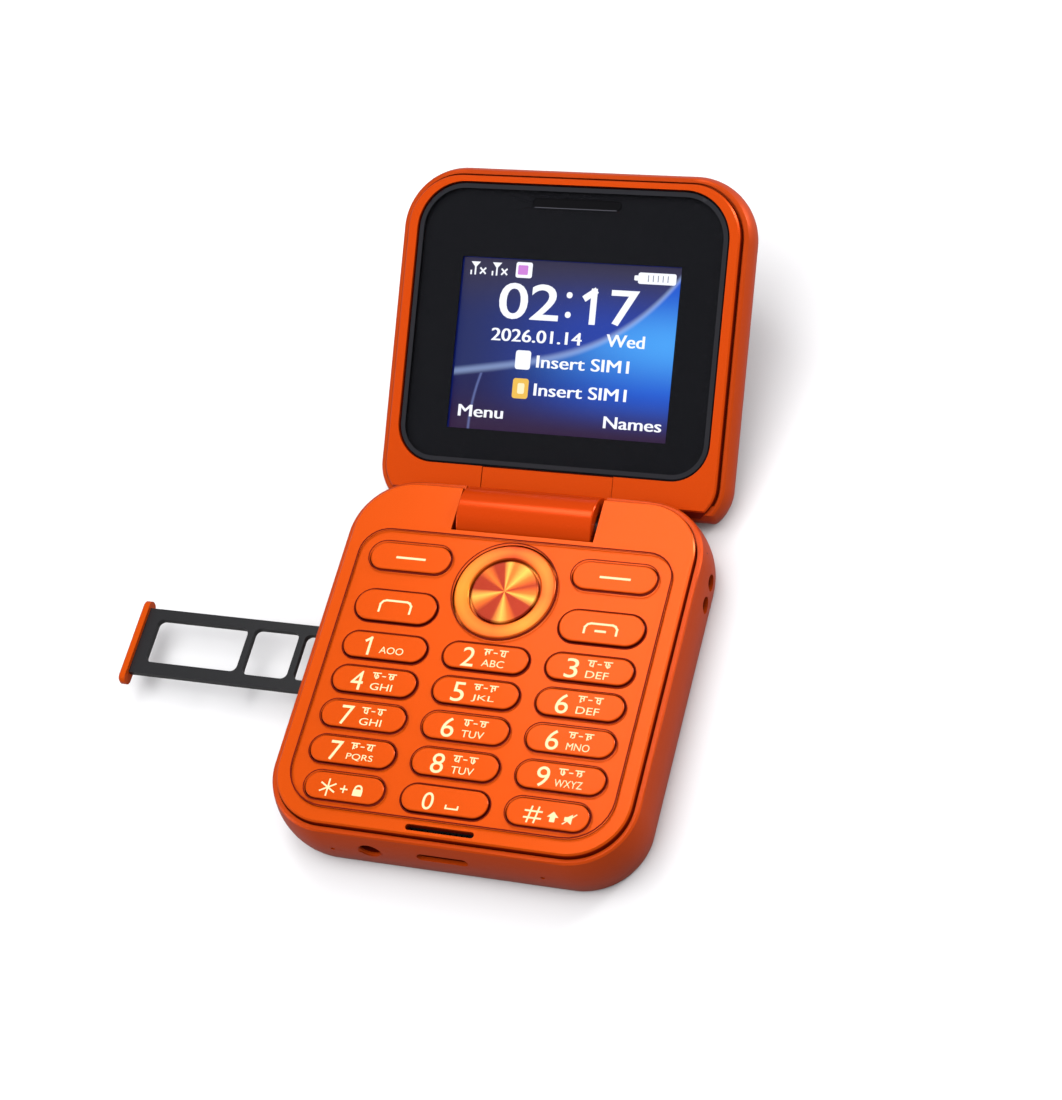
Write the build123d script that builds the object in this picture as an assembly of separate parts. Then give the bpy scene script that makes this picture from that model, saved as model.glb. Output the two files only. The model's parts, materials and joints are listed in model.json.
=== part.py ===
from build123d import *
from math import cos, radians, sin, sqrt
import os

# A square flip phone, open, with its card tray pulled out of the left side of the base.
# Millimetres. X points right, Y from the front edge to the hinge, Z up.
# The origin is on the table, under the middle of the base.

# ---------------------------------------------------------------- driving dimensions
# Both halves of the case
low_inset = 1.1            # how far a wall leans in at the outer face, from its widest line
rim_inset = 0.85           # and at the rim
rim_land = 1.1             # flat rim outside the raised plate
plate_rise = 1.2           # raised plate above the rim
ledge_drop = 1.2           # ledge that carries the plate, below the rim
ledge_reach = 1.05         # width of that ledge, inside the rebate
ledge_height = 1.0
skirt_width = 1.2
seam_gap = 0.05            # between a plate's edge and the rebate around it
edge_break = 0.25          # small chamfer on sharp outer edges
bottom_round = 0.8

# Base half
base_half_width = 33.25
base_half_length = 34.85
base_corner = 12.0
base_rim_z = 11.6
base_widest_z = 5.5
base_wall = 1.7
base_floor = 1.2
cover_thickness = 1.4

# Keypad plate and the stack of layers under it
pad_side_margin = 4.63     # from the side of the case
pad_front_margin = 4.68    # from its front
pad_hinge_gap = 5.89       # from the hinge axis
pad_corner_ease = 4.5      # front corners rounder by less than the case's
pad_rear_corner = 5.0
pad_thickness = 0.9
pad_gap = 0.1
pad_ledge = 0.5
pad_ledge_height = 0.9
key_proud = 0.5            # key tops above the plate
key_gap = 0.2              # all round each key in its hole
key_travel = 0.3
key_tab_gap = 0.1          # between a key's tabs and the plate above them
key_tab_height = 0.45
key_tab_reach = 0.6
key_edge_round = 0.3
mat_thickness = 0.4
mat_nub_height = 0.1
mat_nub_radius = 1.5
mat_press_gap = 0.05       # left between a fully pressed key and its nub
dome_height = 0.15
dome_radius = 1.7
dome_sheet_thickness = 0.1
keypad_board_thickness = 0.5
stack_side_gap = 1.42      # layers under the plate, inside its outline
stack_front_gap = 0.17
stack_rear_gap = 1.13
stack_corner = 2.0

# Keys: the holes in the plate and what is left between them
key_side_margin = 2.27     # from the plate's side
column_gap = 2.8
row_gap = 1.36
row_front_margin = 1.06    # from the plate's front
first_row_drop = 12.82     # first row, in front of the ring's centre
corner_key_margin = 3.37   # from the plate's side, in the last row
soft_key_margin = 2.22     # from the plate's side to the soft and call keys
soft_key_inner = 11.0      # inner end of those keys, from the middle
soft_key_width = 5.8
soft_key_rise = 4.7        # behind the ring's centre
call_key_width = 6.4
call_key_drop = 5.0        # in front of it
key_rows = (
    ("1", "2", "3"),
    ("4", "5", "6"),
    ("extra_left", "extra_middle", "extra_right"),
    ("7", "8", "9"),
    ("star", "0", "hash"),
)

# Navigation ring and its centre button
nav_setback = 15.92        # ring's centre, in front of the hinge axis
nav_ring_radius = 9.0
nav_ring_gap = 0.34
nav_ring_bore = 6.35
nav_ring_proud = 0.45
nav_flange_radius = 9.7
nav_flange_height = 0.25
nav_tilt = 1.5             # degrees the ring rocks each way
nav_play = 0.04            # left over the flange when it rocks both ways at once
nav_button_radius = 6.0
nav_button_proud = 0.4
nav_button_lip = 0.9       # button's flange beyond its rim
nav_button_lip_height = 0.3
nav_lip_rise = 0.95        # top of that flange, over the underside of the ring's
nav_lip_gap = 0.25         # room over the button's flange, and round it
nav_stem_radius = 2.2
nav_pad_bore = 3.0
nav_pad_radius = 8.2
nav_pad_height = 0.25
nav_pad_gap = 0.25         # over the pad
nav_dome_circle = 7.2
nav_well_gap = 0.4
mat_hole_margin = 0.55

# Boards, battery and what is soldered on
board_thickness = 0.8
board_side_gap = 1.55      # from the inside of the case
board_front_gap = 1.15
board_rear_gap = 0.82      # from the wall round the hinge
board_corner_ease = 5.0    # corners rounder by less than the case's
frame_side_gap = 3.0       # inside the board's outline
frame_front_gap = 0.45     # behind the headphone jack
frame_rear_gap = 0.1
frame_bar = 3.0
battery_side_gap = 7.55    # from the inside of the case
battery_front_gap = 0.8    # behind the loudspeaker
battery_rear_gap = 6.62    # from the wall round the hinge
battery_height = 3.7
battery_round = 1.0
speaker_size = (15.0, 11.0, 3.5)
speaker_side_gap = 8.55    # from the inside of the case
speaker_front_gap = 0.85
speaker_corner = 2.75
motor_radius = 4.0
motor_height = 2.7
motor_cheek_gap = 0.9      # from the hinge's cheek
motor_drop = 1.52          # centre in front of the hinge axis
mic_size = (4.0, 3.0, 1.2)
mic_side_gap = 11.75       # from the inside of the case
mic_hole_z = 6.6
mic_hole_radius = 0.4
vent_side_gap = 14.05
wall_hole_reach = 1.7      # how far the wall's holes run on into the case
part_clearance = 0.2       # cut-outs round parts that pass through a board

# Speaker slot in the cover
sound_slot = (12.1, 1.1)
sound_slot_x = 0.4
sound_slot_margin = 3.25   # from the case's front
mesh_margin = 0.6
mesh_thickness = 0.4
mesh_hole_radius = 0.3
mesh_hole_count = 12

# Sockets in the front wall
jack_side_gap = 18.75      # from the inside of the case
jack_z = 7.5
jack_flare = 0.4           # cone at the mouth, wider by this at the case's widest line
jack_bore = 1.8
jack_depth = 12.5
jack_body = (5.6, 4.3)
jack_back = 0.8
usb_x = 0.35
usb_z = 8.0
usb_mouth = (9.1, 2.0)
usb_inside = (7.0, 1.9)
usb_wall = 0.3
usb_corner = 0.6
usb_depth = 5.6
usb_tongue = (4.4, 0.5, 4.0)

# Lanyard holes in the right wall
lanyard_radius = 1.5
lanyard_setbacks = (11.12, 6.77)   # in front of the hinge axis
lanyard_z = 6.2
lanyard_hole_depth = 2.55
lanyard_pocket_depth = 1.7
lanyard_margin = 0.5
lanyard_skin = 1.0

# Card tray and its reader
tray_thickness = 1.1
tray_half_width = 6.5
tray_y = -0.6
tray_z = 6.0
tray_length = 50.0
tray_travel = 36.4
tray_gap = 0.2
tray_end_gap = 0.4
tray_cap = (1.3, 16.5, 2.6)
tray_cap_y = -0.95
tray_cap_corner = 1.18
tray_cap_gap = 0.15
tray_cap_recess = 1.4
tray_corner = 1.2
tray_windows = ((2.4, 18.0, 4.3), (21.6, 8.7, 4.6), (31.5, 11.6, 4.5))   # start, length, half width
tray_window_y = -0.4
reader_sheet = 0.2
reader_side = 1.3
port_block = 1.6           # wall thickening behind the tray slot

# Hinge
hinge_setback = 5.93       # hinge axis, from the case's rear
hinge_z = 9.03
open_angle = 28.0          # lean of the open lid from level
shoulder_width = 20.15     # from the case's side to the barrel's notch
barrel_radius = 5.6
barrel_end_gap = 0.7
pocket_gap = 0.4
pocket_wall = 0.5          # in the cover
pocket_case_wall = 0.8     # in the rear case
cheek = 2.0
hinge_pin_radius = 1.6
hinge_pin_press = 0.02
hinge_pin_run = 0.05
hinge_pin_reach = 6.4      # into the barrel
cartridge_radius = 3.2
cartridge_start_x = 0.5
cartridge_gap = 0.05
flex_roll = (2.6, 2.2)     # outer and inner radius of the rolled cable
flex_half_length = 2.4
flex_x = -2.3
notch_floor_z = 2.9

# Lid half: s runs from the hinge axis to the lid's end, w is height over the axis
lid_side_step = 0.3        # lid narrower than the base, each side
lid_end_step = 0.57        # and shorter at the front, when closed
lid_start_s = 0.6
lid_top_corner = 11.5
lid_low_corner = 8.5
face_w = -4.5              # front face of the lid, under the axis
lid_thickness = 8.0
lid_widest_w = -8.7
lid_wall = 1.5
lid_back = 1.3
lid_tail_gap = 0.47        # between the lid's lower end and the base's rear wall
lid_tail_round = 3.5
bezel_deck_w = -6.6        # underside of the bezel's deck
lens_side_margin = 3.81    # from the lid's side
lens_start_s = 9.57
lens_end_margin = 3.1      # from the lid's end
lens_top_corner = 8.7
lens_low_corner = 6.75
lens_sink = 0.35           # lens below the bezel's face
lens_thickness = 0.8
lens_gap = 0.08
lens_edge_break = 0.3
print_thickness = 0.1
gasket_thickness = 0.1
gasket_width = 1.4
screen_x = 0.25
screen_side_margin = 8.84  # from the lens's edges
screen_start_margin = 6.73
screen_end_margin = 13.5
print_margin = 0.25
deck_margin = 0.7
panel_margin = 2.1
panel_thickness = 1.8
display_frame_margin = 1.6
display_frame_thickness = 0.8
lid_board_side_gap = 7.85  # from the inside of the lid
lid_board_start_gap = 4.43 # from the lens's start
lid_board_end_gap = 4.7
lid_board_thickness = 0.8
ear_slot = (16.7, 1.8)
ear_x = 0.43
ear_margin = 3.1           # from the lens's end
ear_mesh_margin = 0.4
ear_body = (12.0, 5.4, 2.0)
ear_body_corner = 1.8
magnet_size = (4.0, 8.0, 1.2)
magnet_side_gap = 3.85     # from the inside of the lid
magnet_end_gap = 26.7
neck_step = 0.2            # narrower than the barrel, each end
neck_sink = 0.1            # under the lid's face, so that the closed lid clears the rocking ring
neck_gap = 0.12
neck_start_s = 2.0
neck_thickness = 2.7
neck_tab_step = 2.2        # tab narrower than the neck, each end
neck_tab = (3.2, 0.5)      # length, thickness

# Screws
boss_radius = 1.9
screw_radius = 0.75
screw_hole_gap = 0.15
screw_thread_gap = 0.03
screw_head_radius = 1.4
screw_head_height = 0.75
screw_head_sink = 0.15
screw_bite = 1.3
case_boss_front_gaps = (4.25, 4.25)   # from the inside of the case: side, end
case_boss_rear_gaps = (4.75, 4.85)
post_radius = 1.2
post_side_gap = 2.95       # from the inside of the case
post_reader_gaps = (8.2, 3.4)   # in front of the card reader and behind it
lid_boss_radius = 1.8
lid_boss_side_gap = 5.15   # from the inside of the lid
lid_boss_start_gap = 4.03  # from the lens's start
lid_boss_end_gap = 6.2
lid_screw_radius = 0.65
lid_screw_head = (1.3, 0.45)
lid_screw_length = 3.2
lid_post_side_gap = 3.6    # inside the lid board's outline
lid_post_start_gap = 6.0
lid_post_end_gap = 7.0
lid_post_radius = 1.5

# ---------------------------------------------------------------- derived sizes
# Levels in the base
cover_top = base_rim_z + plate_rise
cover_inset = rim_inset + rim_land
ledge_z = base_rim_z - ledge_drop
cover_under = cover_top - cover_thickness
inner_half_width = base_half_width - base_wall
inner_half_length = base_half_length - base_wall
pad_under = cover_top - pad_thickness
tab_top = pad_under - key_tab_gap
tab_bottom = tab_top - key_tab_height
mat_top = tab_bottom - key_travel - mat_press_gap - mat_nub_height
mat_bottom = mat_top - mat_thickness
sheet_top = mat_bottom - dome_height
sheet_bottom = sheet_top - dome_sheet_thickness
keypad_board_bottom = sheet_bottom - keypad_board_thickness
nav_tilt_gap = nav_flange_radius * sin(radians(sqrt(2) * nav_tilt)) + nav_play
nav_flange_top = pad_under - nav_tilt_gap
nav_flange_bottom = nav_flange_top - nav_flange_height
nav_pad_top = nav_flange_bottom - nav_pad_gap
nav_pad_bottom = nav_pad_top - nav_pad_height
nav_lip_radius = nav_button_radius + nav_button_lip
nav_lip_top = nav_flange_bottom + nav_lip_rise
reader_top = tray_z + tray_thickness / 2 + tray_gap + reader_sheet
board_bottom = reader_top
board_top = board_bottom + board_thickness
pocket_radius = barrel_radius + pocket_gap
notch_half_width = base_half_width - shoulder_width
barrel_half_length = notch_half_width - barrel_end_gap
cheek_end = notch_half_width + cheek
tray_out_x = -base_half_width - tray_travel
tray_start_x = tray_out_x + tray_cap[0]
reader_half_width = tray_half_width + tray_gap + reader_side

# Places along the base, tied to its sides and to the hinge axis
hinge_y = base_half_length - hinge_setback
housing_y = hinge_y - pocket_radius - pocket_case_wall
nav_y = hinge_y - nav_setback
pad_half_width = base_half_width - pad_side_margin
pad_front_y = -base_half_length + pad_front_margin
pad_rear_y = hinge_y - pad_hinge_gap
pad_front_corner = base_corner - pad_corner_ease
stack_half_width = pad_half_width - stack_side_gap
stack_front_y = pad_front_y + stack_front_gap
stack_rear_y = pad_rear_y - stack_rear_gap
board_half_width = inner_half_width - board_side_gap
board_front_y = -inner_half_length + board_front_gap
board_rear_y = housing_y - board_rear_gap
board_corner = base_corner - board_corner_ease
jack_x = -inner_half_width + jack_side_gap
jack_rear_y = -inner_half_length + jack_depth + jack_back
frame_half_width = board_half_width - frame_side_gap
frame_front_y = jack_rear_y + frame_front_gap
frame_rear_y = board_rear_y - frame_rear_gap
speaker_x = inner_half_width - speaker_side_gap - speaker_size[0] / 2
speaker_y = -inner_half_length + speaker_front_gap + speaker_size[1] / 2
battery_half_width = inner_half_width - battery_side_gap
battery_front_y = speaker_y + speaker_size[1] / 2 + battery_front_gap
battery_rear_y = housing_y - battery_rear_gap
motor_at = (cheek_end + motor_cheek_gap + motor_radius, hinge_y - motor_drop)
mic_x = -inner_half_width + mic_side_gap
vent_x = inner_half_width - vent_side_gap
sound_slot_at = (sound_slot_x, -base_half_length + sound_slot_margin)
lanyard_y = [hinge_y - setback for setback in lanyard_setbacks]
case_boss_front = (inner_half_width - case_boss_front_gaps[0], -inner_half_length + case_boss_front_gaps[1])
case_boss_rear = (inner_half_width - case_boss_rear_gaps[0], inner_half_length - case_boss_rear_gaps[1])
post_x = inner_half_width - post_side_gap
post_front_y = tray_y - reader_half_width - post_radius - post_reader_gaps[0]
post_rear_y = tray_y + reader_half_width + post_radius + post_reader_gaps[1]

# Key holes: length and width, and places
first_row_y = nav_y - first_row_drop
rows_length = first_row_y - pad_front_y - row_front_margin
row_pitch = (rows_length + row_gap / 2) / (len(key_rows) - 0.5)
columns = len(key_rows[0])
number_hole = (
    (2 * (pad_half_width - key_side_margin) - (columns - 1) * column_gap) / columns,
    row_pitch - row_gap,
)
column_pitch = number_hole[0] + column_gap
side_key_inner = column_pitch - number_hole[0] / 2
side_key_outer = pad_half_width - corner_key_margin
corner_key_hole = (side_key_outer - side_key_inner, number_hole[1])
corner_key_x = (side_key_inner + side_key_outer) / 2
soft_key_outer = pad_half_width - soft_key_margin
soft_key_x = (soft_key_inner + soft_key_outer) / 2
soft_hole = (soft_key_outer - soft_key_inner, soft_key_width)
call_hole = (soft_key_outer - soft_key_inner, call_key_width)
soft_key_y = nav_y + soft_key_rise
call_key_y = nav_y - call_key_drop

# Places along the lid
lid_half_width = base_half_width - lid_side_step
lid_inner_half = lid_half_width - lid_wall
lid_end_s = hinge_y + base_half_length - lid_end_step
lid_inner_end = lid_end_s - lid_wall
lens_half_width = lid_half_width - lens_side_margin
lens_end_s = lid_end_s - lens_end_margin
screen_half_width = lens_half_width - screen_side_margin
screen_start_s = lens_start_s + screen_start_margin
screen_end_s = lens_end_s - screen_end_margin
lid_board_half_width = lid_inner_half - lid_board_side_gap
lid_board_s = (lens_start_s + lid_board_start_gap, lid_inner_end - lid_board_end_gap)
ear_at = (ear_x, lens_end_s - ear_margin)
magnet_at = (-lid_inner_half + magnet_side_gap, lid_inner_end - magnet_end_gap)
neck_half_width = barrel_half_length - neck_step
lid_boss_x = lid_inner_half - lid_boss_side_gap
lid_boss_s = (lens_start_s + lid_boss_start_gap, lid_inner_end - lid_boss_end_gap)
lid_post_x = lid_board_half_width - lid_post_side_gap
lid_post_s = (lid_board_s[0] + lid_post_start_gap, lid_board_s[1] - lid_post_end_gap)

# Levels in the lid
back_w = face_w - lid_thickness
lid_rim_w = face_w - plate_rise
lid_ledge_w = lid_rim_w - ledge_drop
tail_u = hinge_setback + lid_tail_gap
lens_top = face_w - lens_sink
lens_under = lens_top - lens_thickness
print_under = lens_under - print_thickness
deck_w = print_under - gasket_thickness
panel_under = bezel_deck_w - panel_thickness
display_frame_under = panel_under - display_frame_thickness
lid_board_under = display_frame_under - lid_board_thickness
lid_floor_w = back_w + lid_back
lid_pose = Pos(0, hinge_y, hinge_z) * Rot(open_angle, 0, 0)


# ---------------------------------------------------------------- small helpers
def span(x, y, z):
    """Box between the given (low, high) pairs."""
    size = (x[1] - x[0], y[1] - y[0], z[1] - z[0])
    return Pos((x[0] + x[1]) / 2, (y[0] + y[1]) / 2, (z[0] + z[1]) / 2) * Box(*size)


def disc(radius, x, y, z_low, z_high):
    """Upright cylinder between two heights."""
    return Pos(x, y, (z_low + z_high) / 2) * Cylinder(radius, z_high - z_low)


def bar_x(radius, x_low, x_high, y=0.0, z=0.0):
    """Cylinder along X between two ends."""
    return Pos((x_low + x_high) / 2, y, z) * Rot(0, 90, 0) * Cylinder(radius, x_high - x_low)


def bar_y(radius, y_low, y_high, x, z):
    """Cylinder along Y between two ends."""
    return Pos(x, (y_low + y_high) / 2, z) * Rot(90, 0, 0) * Cylinder(radius, y_high - y_low)


def outline(half, y_low, y_high, corner_low, corner_high, inset=0.0):
    """Face with rounded corners, drawn in by inset on every side."""
    size = (2 * (half - inset), y_high - y_low - 2 * inset)
    face = Pos(0, (y_low + y_high) / 2) * Rectangle(*size)
    face = fillet(face.vertices().sort_by(Axis.Y)[:2], max(corner_low - inset, 0.3))
    return fillet(face.vertices().sort_by(Axis.Y)[-2:], max(corner_high - inset, 0.3))


def prism(face, z_low, z_high):
    """Face extruded between two heights."""
    return extrude(Pos(0, 0, z_low) * face, z_high - z_low)


def slot_prism(size, x, y, z_low, z_high):
    """Stadium of the given length and width between two heights."""
    return prism(Pos(x, y) * SlotOverall(size[0], size[1]), z_low, z_high)


def base_outline(inset=0.0):
    return outline(base_half_width, -base_half_length, base_half_length, base_corner, base_corner, inset)


def pad_outline(inset=0.0):
    return outline(pad_half_width, pad_front_y, pad_rear_y, pad_front_corner, pad_rear_corner, inset)


def lid_outline(inset=0.0):
    return outline(lid_half_width, lid_start_s, lid_end_s, lid_low_corner, lid_top_corner, inset)


def lens_outline(inset=0.0):
    return outline(lens_half_width, lens_start_s, lens_end_s, lens_low_corner, lens_top_corner, inset)


def stack_outline(inset=0.0):
    return outline(stack_half_width, stack_front_y, stack_rear_y, stack_corner, stack_corner, inset)


def slab(section, levels):
    """Solid whose walls bulge: section(inset) at each (height, inset) level."""
    return loft([Pos(0, 0, height) * section(inset) for height, inset in levels])


def side_cut(tail, back, radius):
    """Long prism with the lid's side view: slanted lower end, rounded into the back."""
    lean = radians(open_angle)
    out, top = 2 * lid_end_s, -face_w

    def on_tail(height):
        return (tail + height * sin(lean)) / cos(lean)

    corner = (on_tail(back), back)
    start = (on_tail(top), top)
    points = [start, corner, (out, back), (out, top)]
    face = make_face(Polyline(*points, close=True))
    face = fillet(face.vertices().sort_by_distance(corner)[0], radius)
    return extrude(Plane.YZ * face, out, both=True)


def key_places():
    """Name, hole size and centre of every key cap."""
    keys = []
    for side, sign in (("left", -1), ("right", 1)):
        keys.append((f"soft_key_{side}", soft_hole, sign * soft_key_x, soft_key_y))
    keys.append(("call_key", call_hole, -soft_key_x, call_key_y))
    keys.append(("end_key", call_hole, soft_key_x, call_key_y))
    for row, labels in enumerate(key_rows):
        for column, label in enumerate(labels):
            corner = row == len(key_rows) - 1 and column != 1
            size = corner_key_hole if corner else number_hole
            x = (column - 1) * (corner_key_x if corner else column_pitch)
            keys.append((f"key_{label}", size, x, first_row_y - row_pitch * row))
    return keys


def boss_places():
    return [(sign * x, y) for x, y in (case_boss_front, case_boss_rear) for sign in (-1, 1)]


def lid_boss_places():
    return [(sign * lid_boss_x, s) for s in lid_boss_s for sign in (-1, 1)]


def nav_domes():
    around = [(nav_dome_circle, 0), (0, nav_dome_circle), (-nav_dome_circle, 0), (0, -nav_dome_circle)]
    return [(0, nav_y)] + [(x, nav_y + y) for x, y in around]


# ---------------------------------------------------------------- base half
def hinge_drum(radius, half_length):
    return bar_x(radius, -half_length, half_length, hinge_y, hinge_z)


def notch_cut():
    """Space for the barrel: a round pocket, open to the rear and the top."""
    behind = span(
        (-notch_half_width, notch_half_width),
        (hinge_y, 2 * base_half_length),
        (notch_floor_z, 2 * cover_top),
    )
    above = span(
        (-notch_half_width, notch_half_width),
        (hinge_y - barrel_radius, hinge_y),
        (hinge_z, hinge_z + barrel_radius),
    )
    drum = hinge_drum(pocket_radius, notch_half_width)
    return behind + drum + (above & hinge_drum(pocket_radius, notch_half_width))


def hinge_housing(wall, rear, z_low, z_high):
    """Wall round the pocket and the two cheeks beside it, between two heights."""
    drum = hinge_drum(pocket_radius + wall, cheek_end)
    body = drum + span((-cheek_end, cheek_end), (hinge_y, rear), (z_low, z_high))
    return body & span((-cheek_end, cheek_end), (0, rear), (z_low, z_high))


def card_slot_block():
    """Thicker wall behind the tray slot."""
    half = tray_cap[1] / 2 + port_block
    inner = -base_half_width + base_wall + port_block
    height = tray_cap[2] / 2 + port_block
    return span(
        (-base_half_width + base_wall / 2, inner),
        (tray_cap_y - half, tray_cap_y + half),
        (tray_z - height, tray_z + height),
    )


def card_slot_cuts():
    """Recess for the tray's cap and the narrower slot for the tray."""
    half = tray_cap[1] / 2 + tray_cap_gap
    height = tray_cap[2] / 2 + tray_cap_gap
    recess = span(
        (-2 * base_half_width, -base_half_width + tray_cap_recess),
        (tray_cap_y - half, tray_cap_y + half),
        (tray_z - height, tray_z + height),
    )
    slot = span(
        (-2 * base_half_width, -base_half_width + base_wall + 2 * port_block),
        (tray_y - tray_half_width - tray_gap, tray_y + tray_half_width + tray_gap),
        (tray_z - tray_thickness / 2 - tray_gap, tray_z + tray_thickness / 2 + tray_gap),
    )
    return recess + slot


def lanyard_pocket(margin):
    """Room behind the lanyard holes, or the block around it when margin is positive."""
    inner = base_half_width - base_wall - lanyard_pocket_depth
    outer = base_half_width - base_wall + (base_wall / 2 if margin else 0)
    reach = lanyard_radius + lanyard_margin + margin
    return span(
        (inner - margin, outer),
        (lanyard_y[0] - reach, lanyard_y[1] + reach),
        (lanyard_z - reach, lanyard_z + reach),
    )


def jack_mouth():
    """Cone that eases the headphone hole's rim."""
    cone = Cone(jack_bore, jack_bore + jack_flare, jack_flare)
    return Pos(jack_x, -base_half_length + jack_flare / 2, jack_z) * Rot(90, 0, 0) * cone


def wall_holes():
    """Holes through the front wall and the right wall."""
    out = -2 * base_half_length
    inside = -inner_half_length + wall_hole_reach
    holes = bar_y(mic_hole_radius, out, inside, mic_x, mic_hole_z)
    holes += bar_y(mic_hole_radius, out, inside, vent_x, mic_hole_z)
    holes += bar_y(jack_bore, out, inside, jack_x, jack_z) + jack_mouth()
    mouth = Plane.XZ * Pos(usb_x, usb_z) * SlotOverall(usb_mouth[0], usb_mouth[1])
    holes += extrude(mouth, -out)
    for y in lanyard_y:
        holes += bar_x(lanyard_radius, base_half_width - lanyard_hole_depth, 2 * base_half_width, y, lanyard_z)
    return holes


def base_rear_case():
    levels = [(0, low_inset), (base_widest_z, 0), (base_rim_z, rim_inset)]
    case = slab(base_outline, levels)
    case = fillet(case.faces().sort_by(Axis.Z)[0].edges(), bottom_round)
    case = chamfer(case.faces().sort_by(Axis.Z)[-1].edges(), edge_break)
    rebate = prism(base_outline(cover_inset - seam_gap), ledge_z, cover_top)
    reach = cover_inset + ledge_reach
    ledge = prism(base_outline(base_wall) - base_outline(reach), ledge_z - ledge_height, ledge_z)
    case = case - prism(base_outline(base_wall), base_floor, cover_top) + ledge - rebate
    case += hinge_housing(pocket_case_wall, base_half_length - base_wall / 2, base_floor, ledge_z)
    case += card_slot_block()
    case += lanyard_pocket(lanyard_skin)
    for x, y in boss_places():
        case += disc(boss_radius, x, y, base_floor, ledge_z)
    for x in (-post_x, post_x):
        for y in (post_front_y, post_rear_y):
            case += disc(post_radius, x, y, base_floor, board_bottom)
    case -= notch_cut()
    case -= card_slot_cuts()
    case -= lanyard_pocket(0)
    case -= wall_holes()
    case -= hinge_drum(hinge_pin_radius + hinge_pin_press, cheek_end)
    case -= jack_box(part_clearance)
    for x, y in boss_places():
        case -= disc(screw_radius + screw_hole_gap, x, y, -base_floor, ledge_z)
        case -= disc(screw_head_radius + screw_hole_gap, x, y, -base_floor, screw_head_sink + screw_head_height)
    return case


def base_front_cover():
    cover = prism(base_outline(cover_inset), ledge_z, cover_top)
    cover = chamfer(cover.faces().sort_by(Axis.Z)[-1].edges(), edge_break)
    hollow = base_outline(cover_inset + skirt_width)
    cover -= prism(hollow, ledge_z, cover_under)
    ledge = prism(pad_outline(pad_ledge - 2 * skirt_width) & hollow, pad_under - pad_ledge_height, cover_top)
    cover += ledge
    inside = prism(base_outline(cover_inset), ledge_z, cover_under)
    for x, y in boss_places():
        cover += disc(boss_radius, x, y, ledge_z, cover_under) & inside
    cover += hinge_housing(pocket_wall, base_half_length - cover_inset - skirt_width / 2, ledge_z, cover_under)
    cover -= prism(pad_outline(-pad_gap), pad_under, cover_top)
    cover -= prism(pad_outline(pad_ledge), ledge_z, cover_top)
    cover -= disc(nav_flange_radius + nav_well_gap, 0, nav_y, ledge_z, pad_under)
    cover -= notch_cut()
    cover -= hinge_drum(hinge_pin_radius + hinge_pin_press, cheek_end)
    cover -= slot_prism(sound_slot, *sound_slot_at, ledge_z, cover_top)
    cover -= mesh_blank(seam_gap)
    for x, y in boss_places():
        top = ledge_z + screw_bite
        cover -= disc(screw_radius + screw_thread_gap, x, y, ledge_z, top + screw_thread_gap)
    return cover


def mesh_blank(gap):
    size = (sound_slot[0] + 2 * mesh_margin + 2 * gap, sound_slot[1] + 2 * mesh_margin + 2 * gap)
    return slot_prism(size, *sound_slot_at, cover_under - mesh_thickness, cover_under)


def speaker_mesh():
    mesh = mesh_blank(0)
    pitch = (sound_slot[0] - sound_slot[1]) / (mesh_hole_count - 1)
    x, y = sound_slot_at
    for index in range(mesh_hole_count):
        along = x - (sound_slot[0] - sound_slot[1]) / 2 + pitch * index
        mesh -= disc(mesh_hole_radius, along, y, ledge_z, cover_top)
    return mesh


def keypad_plate():
    plate = prism(pad_outline(), pad_under, cover_top)
    for name, size, x, y in key_places():
        plate -= slot_prism(size, x, y, pad_under, cover_top)
    return plate - disc(nav_ring_radius + nav_ring_gap, 0, nav_y, pad_under, cover_top)


def key_cap(size, x, y):
    length, width = size[0] - 2 * key_gap, size[1] - 2 * key_gap
    cap = slot_prism((length, width), x, y, tab_bottom, cover_top + key_proud)
    cap = fillet(cap.faces().sort_by(Axis.Z)[-1].edges(), key_edge_round)
    reach = size[0] / 2 + key_tab_reach
    half = width / 2 - 2 * key_tab_reach
    return cap + span((x - reach, x + reach), (y - half, y + half), (tab_bottom, tab_top))


def nav_ring():
    top = cover_top + nav_ring_proud
    ring = disc(nav_ring_radius, 0, nav_y, nav_flange_bottom, top)
    ring = ring - disc(nav_ring_bore, 0, nav_y, nav_flange_bottom, top)
    ring = fillet(ring.faces().sort_by(Axis.Z)[-1].edges(), key_edge_round)
    ring += disc(nav_flange_radius, 0, nav_y, nav_flange_bottom, nav_flange_top)
    ring -= disc(nav_ring_bore, 0, nav_y, nav_flange_bottom, nav_flange_top)
    room = nav_lip_top + nav_lip_gap
    return ring - disc(nav_lip_radius + nav_lip_gap, 0, nav_y, nav_flange_bottom, room)


def nav_button():
    button = disc(nav_button_radius, 0, nav_y, nav_lip_top, cover_top + nav_button_proud)
    button = fillet(button.faces().sort_by(Axis.Z)[-1].edges(), key_edge_round)
    button += disc(nav_lip_radius, 0, nav_y, nav_lip_top - nav_button_lip_height, nav_lip_top)
    stem_low = sheet_top + dome_height + key_travel + mat_press_gap
    return button + disc(nav_stem_radius, 0, nav_y, stem_low, nav_lip_top)


def nav_pad():
    pad = disc(nav_pad_radius, 0, nav_y, nav_pad_bottom, nav_pad_top)
    return pad - disc(nav_pad_bore, 0, nav_y, nav_pad_bottom, nav_pad_top)


def boss_clearance(gap):
    cuts = [disc(boss_radius + gap, x, y, 0, cover_top) for x, y in boss_places()]
    return cuts[0] + cuts[1:]


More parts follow.
